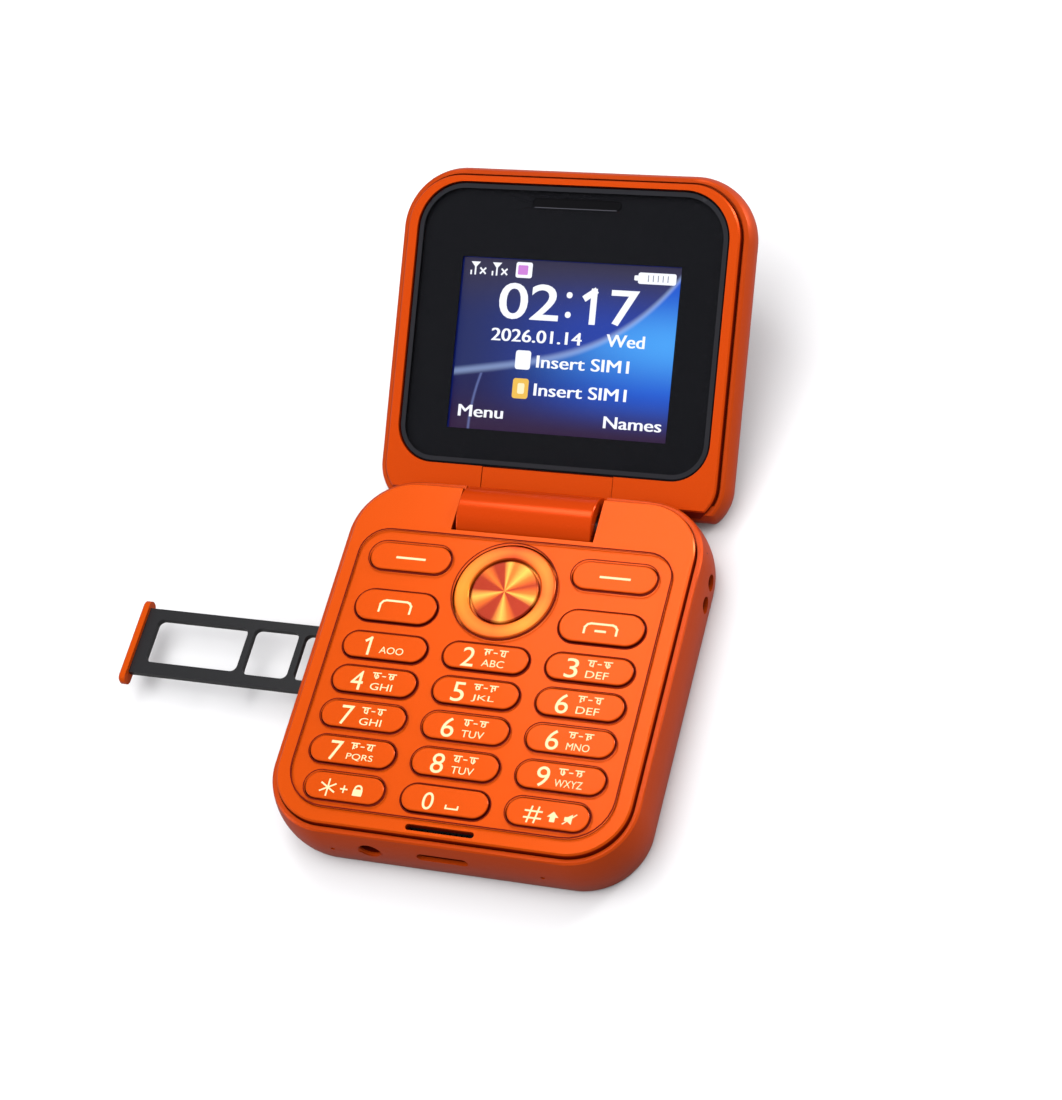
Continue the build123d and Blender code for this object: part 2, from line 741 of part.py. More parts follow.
def keypad_mat():
    mat = prism(stack_outline(), mat_bottom, mat_top)
    for name, size, x, y in key_places():
        mat += disc(mat_nub_radius, x, y, mat_top, mat_top + mat_nub_height)
    mat -= disc(nav_pad_radius + mat_hole_margin, 0, nav_y, mat_bottom, mat_top)
    return mat - boss_clearance(part_clearance)


def dome_sheet():
    sheet = prism(stack_outline(), sheet_bottom, sheet_top)
    places = [(x, y) for name, size, x, y in key_places()] + nav_domes()
    for x, y in places:
        sheet += disc(dome_radius, x, y, sheet_top, sheet_top + dome_height)
    return sheet - boss_clearance(part_clearance)


def keypad_board():
    return prism(stack_outline(), keypad_board_bottom, sheet_bottom) - boss_clearance(part_clearance)


def board_frame():
    """Plastic frame that holds the keypad board over the main board."""
    def bar_outline(inset):
        return outline(frame_half_width, frame_front_y, frame_rear_y, stack_corner, stack_corner, inset)
    frame = prism(bar_outline(0) - bar_outline(frame_bar), board_top, keypad_board_bottom)
    return frame - lanyard_pocket(lanyard_skin + part_clearance)


def jack_box(gap):
    half = jack_body[0] / 2 + gap
    height = jack_body[1] / 2 + gap
    return span(
        (jack_x - half, jack_x + half),
        (-inner_half_length, jack_rear_y + gap),
        (jack_z - height, jack_z + height),
    )


def headphone_jack():
    return jack_box(0) - bar_y(jack_bore, -inner_half_length, jack_rear_y - jack_back, jack_x, jack_z)


def usb_shell(grow):
    size = (usb_inside[0] + 2 * grow, usb_inside[1] + 2 * grow)
    start = Plane.XZ.offset(inner_half_length)
    face = start * Pos(usb_x, usb_z) * RectangleRounded(*size, usb_corner + grow)
    return extrude(face, -usb_depth - grow)


def usb_port():
    rear = -inner_half_length + usb_depth
    width, height, length = usb_tongue
    tongue = span(
        (usb_x - width / 2, usb_x + width / 2),
        (rear - length, rear),
        (usb_z - height / 2, usb_z + height / 2),
    )
    return usb_shell(usb_wall) - usb_shell(0) + tongue


def usb_clearance():
    half = usb_inside[0] / 2 + usb_wall + part_clearance
    rear = -inner_half_length + usb_depth + usb_wall + part_clearance
    return span((usb_x - half, usb_x + half), (-base_half_length, rear), (0, cover_top))


def main_board():
    face = outline(board_half_width, board_front_y, board_rear_y, board_corner, stack_corner)
    board = prism(face, board_bottom, board_top)
    board -= jack_box(part_clearance)
    board -= usb_clearance()
    board -= lanyard_pocket(lanyard_skin + part_clearance)
    board -= card_slot_block()
    return board - boss_clearance(part_clearance)


def battery():
    face = outline(battery_half_width, battery_front_y, battery_rear_y, battery_round, battery_round)
    cell = prism(face, base_floor, base_floor + battery_height)
    return fillet(cell.faces().sort_by(Axis.Z)[-1].edges(), battery_round)


def loudspeaker():
    width, depth, height = speaker_size
    face = Pos(speaker_x, speaker_y) * RectangleRounded(width, depth, speaker_corner)
    return prism(face, base_floor, base_floor + height)


def vibration_motor():
    return disc(motor_radius, *motor_at, base_floor, base_floor + motor_height)


def microphone():
    width, depth, height = mic_size
    return span(
        (mic_x - width / 2, mic_x + width / 2),
        (-inner_half_length, -inner_half_length + depth),
        (board_bottom - height, board_bottom),
    )


def tray_passage(side, gap):
    """The tray's path inside the phone, widened by side and raised by gap."""
    inner_end = tray_start_x + tray_length + tray_travel + tray_end_gap
    half = reader_half_width - reader_side + side
    height = tray_thickness / 2 + tray_gap + gap
    start = -base_half_width + base_wall + port_block
    return span((start, inner_end + side), (tray_y - half, tray_y + half), (tray_z - height, tray_z + height))


def card_reader():
    return tray_passage(reader_side, reader_sheet) - tray_passage(0, 0)


def card_tray():
    tray = span(
        (tray_start_x, tray_start_x + tray_length),
        (tray_y - tray_half_width, tray_y + tray_half_width),
        (tray_z - tray_thickness / 2, tray_z + tray_thickness / 2),
    )
    ends = tray.edges().filter_by(Axis.Z).sort_by(Axis.X)[-2:]
    tray = fillet(ends, tray_corner)
    for start, length, half in tray_windows:
        x = tray_start_x + start
        window = outline(length / 2, tray_window_y - half, tray_window_y + half, tray_corner, tray_corner)
        tray -= Pos(x + length / 2) * prism(window, 0, 2 * tray_z)
    return tray


def card_tray_cap():
    depth, width, height = tray_cap
    face = Plane.YZ * Pos(tray_cap_y, tray_z) * RectangleRounded(width, height, tray_cap_corner)
    cap = Pos(tray_out_x) * extrude(face, depth)
    return chamfer(cap.faces().sort_by(Axis.X)[0].edges(), edge_break)


def case_screws():
    screws = []
    for x, y in boss_places():
        head_top = screw_head_sink + screw_head_height
        shank = disc(screw_radius, x, y, head_top, ledge_z + screw_bite)
        screws.append(disc(screw_head_radius, x, y, screw_head_sink, head_top) + shank)
    return Compound(children=[screw.solid() for screw in screws])


def hinge_pin():
    return bar_x(hinge_pin_radius, -cheek_end, -hinge_pin_reach, hinge_y, hinge_z)


def hinge_cam_pin():
    return bar_x(hinge_pin_radius, hinge_pin_reach, cheek_end, hinge_y, hinge_z)


# ---------------------------------------------------------------- lid half
# Everything here is drawn with Y along s and Z along w, then posed once.
def hinge_barrel():
    barrel = bar_x(barrel_radius, -barrel_half_length, barrel_half_length)
    barrel = fillet(barrel.edges().filter_by(GeomType.CIRCLE), edge_break)
    run = hinge_pin_radius + hinge_pin_run
    barrel -= bar_x(run, -barrel_half_length, -hinge_pin_reach + part_clearance)
    bore = cartridge_radius + cartridge_gap
    return barrel - bar_x(bore, flex_x - flex_half_length - cartridge_gap, barrel_half_length)


def hinge_cartridge():
    body = bar_x(cartridge_radius, cartridge_start_x, barrel_half_length)
    run = hinge_pin_radius + hinge_pin_run
    return body - bar_x(run, hinge_pin_reach - part_clearance, barrel_half_length)


def flex_cable():
    outer, inner = flex_roll
    low, high = flex_x - flex_half_length, flex_x + flex_half_length
    return bar_x(outer, low, high) - bar_x(inner, low, high)


def hinge_neck():
    """Block between the barrel and the lid, with a tab that reaches under the bezel's deck."""
    end = lens_start_s - lens_gap - neck_gap
    top = face_w - neck_sink
    neck = span((-neck_half_width, neck_half_width), (neck_start_s, end), (face_w - neck_thickness, top))
    neck -= bar_x(barrel_radius, -lid_half_width, lid_half_width)
    half = neck_half_width - neck_tab_step
    length, thickness = neck_tab
    return neck + span((-half, half), (end, end + length), (bezel_deck_w - thickness, bezel_deck_w))


def neck_cut():
    half = neck_half_width + neck_gap
    end = lens_start_s - lens_gap
    return span((-half, half), (-end, end), (face_w - neck_thickness - neck_gap, -face_w))


def lid_rear_case():
    levels = [(back_w, low_inset), (lid_widest_w, 0), (lid_rim_w, rim_inset)]
    case = slab(lid_outline, levels)
    case = chamfer(case.faces().sort_by(Axis.Z)[-1].edges(), edge_break)
    case = case & side_cut(tail_u, back_w, lid_tail_round)
    case = fillet(case.faces().sort_by(Axis.Z)[0].edges(), bottom_round)
    room = prism(lid_outline(lid_wall), lid_floor_w, -face_w)
    inside = side_cut(tail_u + lid_wall, lid_floor_w, lid_tail_round - lid_wall)
    case -= room & inside
    reach = cover_inset + ledge_reach
    ledge = prism(lid_outline(lid_wall) - lid_outline(reach), lid_ledge_w - ledge_height, lid_ledge_w)
    case += ledge & inside
    case -= prism(lid_outline(cover_inset - seam_gap), lid_ledge_w, -face_w)
    for x, s in lid_boss_places():
        case += disc(lid_boss_radius, x, s, lid_floor_w, bezel_deck_w)
        case -= disc(lid_screw_radius + screw_thread_gap, x, s, deck_w - 2 * lid_screw_length, bezel_deck_w)
    for x in (-lid_post_x, lid_post_x):
        for s in lid_post_s:
            case += disc(lid_post_radius, x, s, lid_floor_w, lid_board_under)
    return case - neck_cut()


def screen_face(margin):
    width = 2 * (screen_half_width + margin)
    height = screen_end_s - screen_start_s + 2 * margin
    return Pos(screen_x, (screen_start_s + screen_end_s) / 2) * Rectangle(width, height)


def lid_front_bezel():
    bezel = prism(lid_outline(cover_inset), lid_ledge_w, face_w)
    bezel = chamfer(bezel.faces().sort_by(Axis.Z)[-1].edges(), edge_break)
    bezel -= prism(lid_outline(cover_inset + skirt_width), lid_ledge_w, bezel_deck_w)
    bezel = bezel & side_cut(tail_u, back_w, lid_tail_round)
    bezel -= prism(lens_outline(-lens_gap), deck_w, face_w)
    bezel -= prism(screen_face(deck_margin), bezel_deck_w, face_w)
    bezel -= slot_prism(ear_slot, *ear_at, bezel_deck_w, face_w)
    head_radius, head_height = lid_screw_head
    for x, s in lid_boss_places():
        bezel -= disc(lid_screw_radius + screw_hole_gap, x, s, bezel_deck_w, deck_w)
        bezel -= disc(head_radius + screw_hole_gap, x, s, deck_w - head_height, deck_w)
    return bezel - neck_cut()


def display_lens():
    lens = prism(lens_outline(), lens_under, lens_top)
    lens = chamfer(lens.faces().sort_by(Axis.Z)[-1].edges(), lens_edge_break)
    return lens - slot_prism(ear_slot, *ear_at, lens_under, lens_top)


def lens_print():
    """Dark printed border behind the lens, with a window for the screen."""
    face = lens_outline() - screen_face(print_margin)
    return prism(face, print_under, lens_under) - slot_prism(ear_slot, *ear_at, print_under, lens_under)


def ear_mesh_blank(gap):
    margin = 2 * (ear_mesh_margin + gap)
    return slot_prism((ear_slot[0] + margin, ear_slot[1] + margin), *ear_at, deck_w, print_under)


def lens_gasket():
    ring = prism(lens_outline() - lens_outline(gasket_width), deck_w, print_under)
    return ring - ear_mesh_blank(seam_gap)


def earpiece_mesh():
    return ear_mesh_blank(0)


def earpiece():
    width, depth, height = ear_body
    x, s = ear_at
    face = Pos(x, s) * RectangleRounded(width, depth, ear_body_corner)
    return prism(face, bezel_deck_w - height, bezel_deck_w)


def display_panel():
    return prism(screen_face(panel_margin), panel_under, bezel_deck_w)


def display_frame():
    face = screen_face(panel_margin + display_frame_margin)
    return prism(face, display_frame_under, panel_under)


def lid_board():
    face = outline(lid_board_half_width, *lid_board_s, stack_corner, stack_corner)
    return prism(face, lid_board_under, display_frame_under)


def lid_magnet():
    width, length, height = magnet_size
    x, s = magnet_at
    return span((x - width / 2, x + width / 2), (s - length / 2, s + length / 2), (lid_floor_w, lid_floor_w + height))


def lid_screws():
    head_radius, head_height = lid_screw_head
    under = deck_w - head_height
    screws = []
    for x, s in lid_boss_places():
        head = disc(head_radius, x, s, under, deck_w)
        screws.append(head + disc(lid_screw_radius, x, s, under - lid_screw_length, under))
    return Compound(children=[screw.solid() for screw in screws])


# ---------------------------------------------------------------- assembly
def base_pieces():
    pieces = {
        "base_rear_case": base_rear_case(),
        "base_front_cover": base_front_cover(),
        "keypad_plate": keypad_plate(),
        "keypad_mat": keypad_mat(),
        "dome_sheet": dome_sheet(),
        "keypad_board": keypad_board(),
        "board_frame": board_frame(),
        "main_board": main_board(),
        "battery": battery(),
        "headphone_jack": headphone_jack(),
        "usb_port": usb_port(),
        "microphone": microphone(),
        "loudspeaker": loudspeaker(),
        "speaker_mesh": speaker_mesh(),
        "vibration_motor": vibration_motor(),
        "card_reader": card_reader(),
        "card_tray": card_tray(),
        "card_tray_cap": card_tray_cap(),
        "case_screws": case_screws(),
        "hinge_pin": hinge_pin(),
        "hinge_cam_pin": hinge_cam_pin(),
        "nav_ring": nav_ring(),
        "nav_button": nav_button(),
        "nav_pad": nav_pad(),
    }
    for name, size, x, y in key_places():
        pieces[name] = key_cap(size, x, y)
    return pieces


def lid_pieces():
    pieces = {
        "hinge_barrel": hinge_barrel(),
        "hinge_neck": hinge_neck(),
        "hinge_cartridge": hinge_cartridge(),
        "flex_cable": flex_cable(),
        "lid_rear_case": lid_rear_case(),
        "lid_front_bezel": lid_front_bezel(),
        "display_lens": display_lens(),
        "lens_print": lens_print(),
        "lens_gasket": lens_gasket(),
        "display_panel": display_panel(),
        "display_frame": display_frame(),
        "lid_board": lid_board(),
        "earpiece": earpiece(),
        "earpiece_mesh": earpiece_mesh(),
        "lid_magnet": lid_magnet(),
        "lid_screws": lid_screws(),
    }
    return {name: lid_pose * piece for name, piece in pieces.items()}


os.makedirs("parts", exist_ok=True)
for name, piece in {**base_pieces(), **lid_pieces()}.items():
    export_step(piece, f"parts/{name}.step")
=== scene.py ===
import json
import math

import bmesh
import bpy
from mathutils import Matrix, Vector


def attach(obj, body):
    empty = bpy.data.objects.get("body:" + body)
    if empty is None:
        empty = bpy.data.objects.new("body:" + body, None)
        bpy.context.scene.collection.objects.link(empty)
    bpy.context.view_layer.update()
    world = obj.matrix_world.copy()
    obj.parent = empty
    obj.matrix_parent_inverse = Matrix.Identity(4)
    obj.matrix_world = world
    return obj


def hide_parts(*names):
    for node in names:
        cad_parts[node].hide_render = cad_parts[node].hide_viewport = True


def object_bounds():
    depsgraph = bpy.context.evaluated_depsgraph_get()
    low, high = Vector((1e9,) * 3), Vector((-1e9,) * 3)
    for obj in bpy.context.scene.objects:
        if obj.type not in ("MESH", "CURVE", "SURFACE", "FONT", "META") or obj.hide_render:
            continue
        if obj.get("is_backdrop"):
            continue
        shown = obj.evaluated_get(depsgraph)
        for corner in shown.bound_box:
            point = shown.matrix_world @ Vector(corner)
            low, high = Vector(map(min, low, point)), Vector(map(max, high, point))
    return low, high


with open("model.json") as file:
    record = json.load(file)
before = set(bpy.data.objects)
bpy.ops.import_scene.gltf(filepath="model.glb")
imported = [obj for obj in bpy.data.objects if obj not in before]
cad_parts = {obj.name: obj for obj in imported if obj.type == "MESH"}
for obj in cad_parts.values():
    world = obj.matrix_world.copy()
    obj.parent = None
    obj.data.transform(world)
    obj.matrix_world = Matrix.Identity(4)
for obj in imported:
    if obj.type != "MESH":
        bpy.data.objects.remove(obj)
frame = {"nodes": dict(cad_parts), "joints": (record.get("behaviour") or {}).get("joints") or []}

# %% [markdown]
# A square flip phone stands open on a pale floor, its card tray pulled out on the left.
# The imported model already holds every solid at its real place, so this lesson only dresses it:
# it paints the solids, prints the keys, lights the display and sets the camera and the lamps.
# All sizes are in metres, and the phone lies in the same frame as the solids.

MM = 0.001
cad_box = [list(corner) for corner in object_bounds()]
print("solids:", len(frame["nodes"]), "box in mm:", [[round(v / MM, 1) for v in c] for c in cad_box])

# %% [markdown]
# The lid is drawn flat and then leaned back. Its own directions come from the hinge joint: the axis
# gives a point, and the angle that is left to close the phone tells how far the lid leans.
# `lid_pose` carries a drawing made with X across, Y along the lid and Z out of its face.

# %% Where the lid stands
hinge = next(joint for joint in frame["joints"] if joint["name"] == "lid_hinge")
hinge_point = Vector(hinge["pos_m"])
lid_lean = math.radians(180 - hinge["range_deg"][1])
lid_pose = Matrix.Translation(hinge_point) @ Matrix.Rotation(lid_lean, 4, "X")
lid_normal = lid_pose.to_3x3() @ Vector((0, 0, 1))
print("lid leans", round(math.degrees(lid_lean), 1), "degrees")


def lid_span(node):
    """Lowest and highest corner of a CAD node in the lid's own directions."""
    flat = lid_pose.inverted()
    points = [flat @ v.co for v in frame["nodes"][node].data.vertices]
    low = Vector([min(p[i] for p in points) for i in range(3)])
    high = Vector([max(p[i] for p in points) for i in range(3)])
    return low, high


# %% [markdown]
# A material is a small drawing of nodes, and most of it is arithmetic. Wrapping a socket in a class
# with the usual operators lets a recipe read like a formula, as in `tone * (1 - mask)`.

# %% Shader arithmetic
class Field:
    """A value that varies over a surface: a socket that can be added, multiplied and compared."""

    def __init__(self, finish, socket):
        self.finish = finish
        self.socket = socket

    def math(self, operation, *others):
        """Result of one operation on this value and the others."""
        values = dict(enumerate((self,) + others))
        return self.finish.node("Math", {"operation": operation}, values)

    def __add__(self, other):
        return self.math("ADD", other)

    def __sub__(self, other):
        return self.math("SUBTRACT", other)

    def __rsub__(self, other):
        return self.finish.node("Math", {"operation": "SUBTRACT"}, {0: other, 1: self})

    def __mul__(self, other):
        return self.math("MULTIPLY", other)

    def __truediv__(self, other):
        return self.math("DIVIDE", other)

    def __gt__(self, other):
        return self.math("GREATER_THAN", other)

    def __lt__(self, other):
        return self.math("LESS_THAN", other)

    def ease(self, low, high):
        """0 below low, 1 above high, and a smooth step between them."""
        sockets = {"Value": self, "From Min": low, "From Max": high}
        return self.finish.node("MapRange", {"interpolation_type": "SMOOTHSTEP"}, sockets)


print("a field can be added, multiplied, compared and eased")

# %% [markdown]
# A finish is one material. Every node in it that isn't arithmetic comes from one method, `node`,
# which takes its kind, its settings and its sockets, in that order, because some settings change
# which sockets there are. The other methods are the few recipes that several finishes share.

# %% Finishes made of nodes
class Finish:
    """A material whose nodes are added by recipe."""

    def __init__(self, name, **sockets):
        self.material = bpy.data.materials.new(name)
        self.material.use_nodes = True
        self.tree = self.material.node_tree
        self.shader = self.tree.nodes["Principled BSDF"]
        self.set(**sockets)

    def set(self, **sockets):
        """Sets sockets of the shader; Base_Color stands for Base Color."""
        for name, value in sockets.items():
            self.plug(self.shader.inputs[name.replace("_", " ")], value)

    def plug(self, socket, value):
        """Links a field to a socket, or writes a plain value in it."""
        if isinstance(value, Field):
            self.tree.links.new(value.socket, socket)
        else:
            socket.default_value = value

    def node(self, kind, settings=None, sockets=None, output=0):
        """Adds one node and gives back one of its outputs."""
        made = self.tree.nodes.new("ShaderNode" + kind)
        for name, value in (settings or {}).items():
            if name == "stops":
                fill_ramp(made.color_ramp, value)
            else:
                setattr(made, name, value)
        for name, value in (sockets or {}).items():
            self.plug(made.inputs[name], value)
        return Field(self, made.outputs[output])

    def point(self):
        """Place on the surface, in metres."""
        return self.node("TexCoord", output="Object")

    def along(self, direction, start=0.0):
        """Distance of the surface along a direction, from a start."""
        sockets = {0: self.point(), 1: tuple(direction)}
        return self.node("VectorMath", {"operation": "DOT_PRODUCT"}, sockets, "Value") - start

    def noise(self, size):
        """Soft grain, its spots about as large as size."""
        sockets = {"Vector": self.point(), "Scale": 1 / size, "Detail": 2.0, "Roughness": 0.5}
        return self.node("TexNoise", None, sockets, "Fac")

    def mix(self, amount, low, high):
        """Blend of two colours."""
        sockets = {0: amount, 6: low, 7: high}
        return self.node("Mix", {"data_type": "RGBA"}, sockets, 2)

    def tinted(self, colour, factor):
        """A colour multiplied by a value."""
        sockets = {0: 1.0, 6: colour, 7: factor}
        return self.node("Mix", {"data_type": "RGBA", "blend_type": "MULTIPLY"}, sockets, 2)

    def grey(self, value):
        """A value as a colour."""
        return self.node("CombineColor", None, {"Red": value, "Green": value, "Blue": value})

    def bump(self, height, distance):
        """Normal of a surface raised by height times a distance."""
        return self.node("Bump", None, {"Height": height, "Distance": distance, "Strength": 1.0})


def fill_ramp(ramp, stops):
    """Gives a colour ramp its stops, each a position and a colour."""
    while len(ramp.elements) < len(stops):
        ramp.elements.new(0.5)
    for element, (position, colour) in zip(ramp.elements, stops):
        element.position = position
        element.color = colour


def shade(red, green, blue):
    """Colour as a screen shows it, 0 to 255, turned into light."""
    def light(value):
        value /= 255
        return value / 12.92 if value <= 0.04045 else ((value + 0.055) / 1.055) ** 2.4
    return (light(red), light(green), light(blue), 1.0)


print("finishes ready; mid grey is", round(shade(128, 128, 128)[0], 3))

# %% [markdown]
# The holes of the front and right walls are dark inside: the shade in them is painted into the
# case's colour. The mask is a box just behind each wall, at the height of its holes.

# %% Dark holes in the walls
def top_of(node, direction):
    """Highest reach of a CAD node along a direction, in metres."""
    return max(v.co.dot(direction) for v in frame["nodes"][node].data.vertices)


case_right = top_of("base_rear_case", Vector((1, 0, 0))) / MM
case_front = -top_of("base_rear_case", Vector((0, -1, 0))) / MM
HOLE_EDGE = 0.75           # walls lean in by less than this at the height of the holes
FRONT_HOLES = 21.0         # the front wall's holes lie nearer the middle than this
LANYARD_HOLES = (14.0, 26.0)
HOLE_LEVELS = (4.0, 10.0)


def hole_shade(finish):
    """1 inside the holes of the front and right walls, where shade is painted, and 0 elsewhere."""
    x = finish.along((1, 0, 0)) / MM
    y = finish.along((0, 1, 0)) / MM
    z = finish.along((0, 0, 1)) / MM
    front = (y > case_front + HOLE_EDGE) * (y < 0) * (x.math("ABSOLUTE") < FRONT_HOLES)
    right = (x < case_right - HOLE_EDGE) * (x > 0) * (y > LANYARD_HOLES[0]) * (y < LANYARD_HOLES[1])
    return (front + right).math("MINIMUM", 1.0) * (z > HOLE_LEVELS[0]) * (z < HOLE_LEVELS[1])


print("walls with holes at X", round(case_right, 2), "and Y", round(case_front, 2))

# %% [markdown]
# The case is moulded plastic under a satin orange paint with fine metal flakes. A sprayed coat is
# never one flat colour: flakes make a faint grain, and the paint looks redder where it is seen at a
# slant. The narrow gaps round the keys and plates, and the holes, get a dark red painted shade.

# %% Orange paint of the case, the cover and the keys
DEEP_ORANGE = shade(156, 36, 1)
# Painted shade: the dark red of the gaps and holes, and the red of the groove under a cover's lip.
GAP_SHADE_RED = shade(84, 10, 0)
GROOVE_SHADE_RED = shade(118, 22, 1)
ORANGE = shade(180, 64, 1)
# The walls and the bezel carry the cover's paint, written a little darker: painted shade for the
# walls, which get less light, and for the bezel's darker end near the hinge.
WALL_ORANGE = shade(166, 56, 6)
BEZEL_ORANGE = shade(180, 59, 1)
BARREL_ORANGE = shade(180, 54, 2)
FLAKE = 0.2 * MM           # size of the grain that the flakes make
FLAKE_RISE = 0.003 * MM


def paint(name, colour, roughness, edge=None, shadow=GAP_SHADE_RED, holes=False):
    """Satin paint. `edge` is a direction, a level and a depth: painted shade darkens it below that
    level.
    """
    finish = Finish(name, Roughness=roughness, Metallic=0.4, Specular_IOR_Level=0.12,
                    Coat_Weight=0.04, Coat_Roughness=0.12)
    grain = finish.noise(FLAKE)
    slant = finish.node("LayerWeight", None, {"Blend": 0.3}, "Facing")
    body = finish.mix(slant.ease(0.15, 0.95) * 0.55, colour, DEEP_ORANGE)
    # Painted shade: below the level the colour goes over to the shadow red.
    if edge:
        direction, level, depth = edge
        lit = finish.along(direction, level - depth) / depth
        body = finish.mix(lit.ease(0.45, 0.95), shadow, body)
    # Painted shade inside the holes of the walls.
    if holes:
        body = finish.mix(hole_shade(finish), body, shadow)
    finish.set(Base_Color=finish.tinted(body, finish.grey(grain * 0.14 + 0.93)))
    finish.set(Normal=finish.bump(grain, FLAKE_RISE))
    return finish.material


print("flakes of", round(FLAKE / MM, 3), "mm, raised by", round(FLAKE_RISE / MM, 4), "mm")

# %% [markdown]
# Caps and covers get a painted shade down their sides, for the shade in the gaps round them.
# Each piece darkens below a level of its own: keys just under the top, covers only below their rounded
# lip.

# %% Paint of each piece
UP = Vector((0, 0, 1))
SATIN = 0.34
LIP = 0.4 * MM             # the rounded lip of a cover stays bright down to here
# Depths over which the painted shade comes in.
KEY_SHADE_DEPTH = 0.36 * MM
PLATE_SHADE_DEPTH = 0.06 * MM
COVER_SHADE_DEPTH = 0.3 * MM
key_top = top_of("key_5", UP)
plate_top = top_of("keypad_plate", UP)
bezel_top = top_of("lid_front_bezel", lid_normal)
cover_shade_edge = (UP, plate_top - LIP, COVER_SHADE_DEPTH)
bezel_shade_edge = (lid_normal, bezel_top - LIP, COVER_SHADE_DEPTH)
finishes = {
    "case_paint": paint("case paint", WALL_ORANGE, 0.4, holes=True),
    "cover_paint": paint("cover paint", ORANGE, SATIN),
    "key_paint": paint("key paint", ORANGE, SATIN, (UP, key_top, KEY_SHADE_DEPTH)),
}
special = {
    "keypad_plate": paint("plate paint", ORANGE, SATIN, (UP, plate_top, PLATE_SHADE_DEPTH)),
    "base_front_cover": paint("front paint", ORANGE, SATIN, cover_shade_edge, GROOVE_SHADE_RED),
    "lid_front_bezel": paint("bezel paint", BEZEL_ORANGE, SATIN, bezel_shade_edge, GROOVE_SHADE_RED),
    "hinge_neck": paint("neck paint", BEZEL_ORANGE, SATIN),
    "hinge_barrel": paint("barrel paint", BARREL_ORANGE, 0.22),
}
print("paints:", len(finishes) + len(special))

# %% [markdown]
# The small metal, plastic, rubber and glass parts each get a plain finish of their own.
# Most of them sit inside the phone and only show when it is opened or turned over.
# One table of colour, roughness and metal keeps them comparable.

# %% Plain finishes of the inner parts
plain = {
    "gold": (shade(236, 150, 50), 0.3, 1.0),
    "black_plastic": (shade(18, 18, 20), 0.42, 0.0),
    "dark_plastic": (shade(24, 24, 27), 0.5, 0.0),
    "silicone": (shade(150, 60, 30), 0.6, 0.0),
    "board": (shade(18, 74, 48), 0.45, 0.0),
    "domes": (shade(190, 180, 150), 0.35, 1.0),
    "steel": (shade(186, 188, 192), 0.3, 1.0),
    "battery_wrap": (shade(44, 60, 96), 0.4, 0.0),
    "screen": (shade(18, 34, 110), 0.3, 0.0),
    "lens_ink": (shade(14, 14, 16), 0.6, 0.0),
    "foam": (shade(28, 28, 28), 0.95, 0.0),
    "mesh": (shade(8, 8, 10), 0.7, 0.0),
    "flex": (shade(170, 96, 30), 0.4, 0.0),
    "magnet": (shade(150, 150, 156), 0.25, 1.0),
}
for slot, (colour, roughness, metal) in plain.items():
    finish = Finish(slot.replace("_", " "), Base_Color=colour, Roughness=roughness, Metallic=metal)
    finish.set(Specular_IOR_Level=0.1 if slot in ("lens_ink", "mesh") else 0.4)
    finishes[slot] = finish.material
print("plain finishes:", len(plain))

# %% [markdown]
# The lens is a clear sheet with smoked glass. It lets the lit display through and keeps its own
# reflection low, so the frame round the picture stays dark from every side.

# %% Smoked lens
def smoked_glass():
    """Mostly clear, with a weak reflection that grows a little at a slant."""
    finish = Finish("smoked lens", Base_Color=shade(10, 10, 12), Roughness=0.1, Specular_IOR_Level=0.2)
    see = finish.node("BsdfTransparent", None, {"Color": shade(250, 251, 253)})
    slant = finish.node("LayerWeight", None, {"Blend": 0.1}, "Fresnel")
    both = finish.node("MixShader", None, {0: slant * 0.3 + 0.01, 1: see})
    finish.tree.links.new(finish.shader.outputs[0], both.socket.node.inputs[2])
    finish.tree.links.new(both.socket, finish.tree.nodes["Material Output"].inputs[0])
    return finish.material


finishes["lens_glass"] = smoked_glass()
print("lens:", finishes["lens_glass"].name)

# %% [markdown]
# The button in the middle is turned on a lathe and anodised. The tool leaves rings too fine to see,
# and each ring throws light to both sides of the lamp, so the disc shows bright and dark sectors.
# The sectors are painted highlight and shade, set by the angle round the centre, and the ring's
# crown has a painted highlight; the fine rings go into the roughness.

# %% Anodised ring and spun button
def middle(node):
    """Centre of a CAD node, in metres."""
    points = [v.co for v in frame["nodes"][node].data.vertices]
    return Vector([(min(p[i] for p in points) + max(p[i] for p in points)) / 2 for i in range(3)])


# Painted highlight, mid tone and shade of the gold.
GOLD_LIT = shade(226, 150, 62)
GOLD_MID = shade(196, 92, 26)
GOLD_LOW = shade(136, 36, 10)
RING_CROWN = 7.7           # radius of the ring's rounded crown, in mm
CROWN_REACH = 1.3
LATHE_PITCH = 0.02 * MM


def spun(name, sectors, groove):
    """Turned metal: `sectors` are stops of painted light and shade round the centre, from the -X side.
    """
    finish = Finish(name, Metallic=0.6, Specular_IOR_Level=0.3)
    centre = middle("nav_button")
    x = finish.along((1, 0, 0), centre.x)
    y = finish.along((0, 1, 0), centre.y)
    around = y.math("ARCTAN2", x) / math.tau + 0.5
    colour = finish.node("ValToRGB", {"stops": sectors}, {"Fac": around})
    radius = (x * x + y * y).math("SQRT")
    fine = (radius / LATHE_PITCH).math("SINE")
    # Painted highlight along the crown of the ring.
    crown = 1 - (radius / MM - RING_CROWN).math("ABSOLUTE").ease(0.0, CROWN_REACH)
    colour = finish.mix(crown * 0.2, colour, GOLD_LIT)
    finish.set(Base_Color=finish.tinted(colour, finish.grey(fine * groove + 1.0 - groove)))
    finish.set(Roughness=fine * groove + 0.3)
    return finish.material
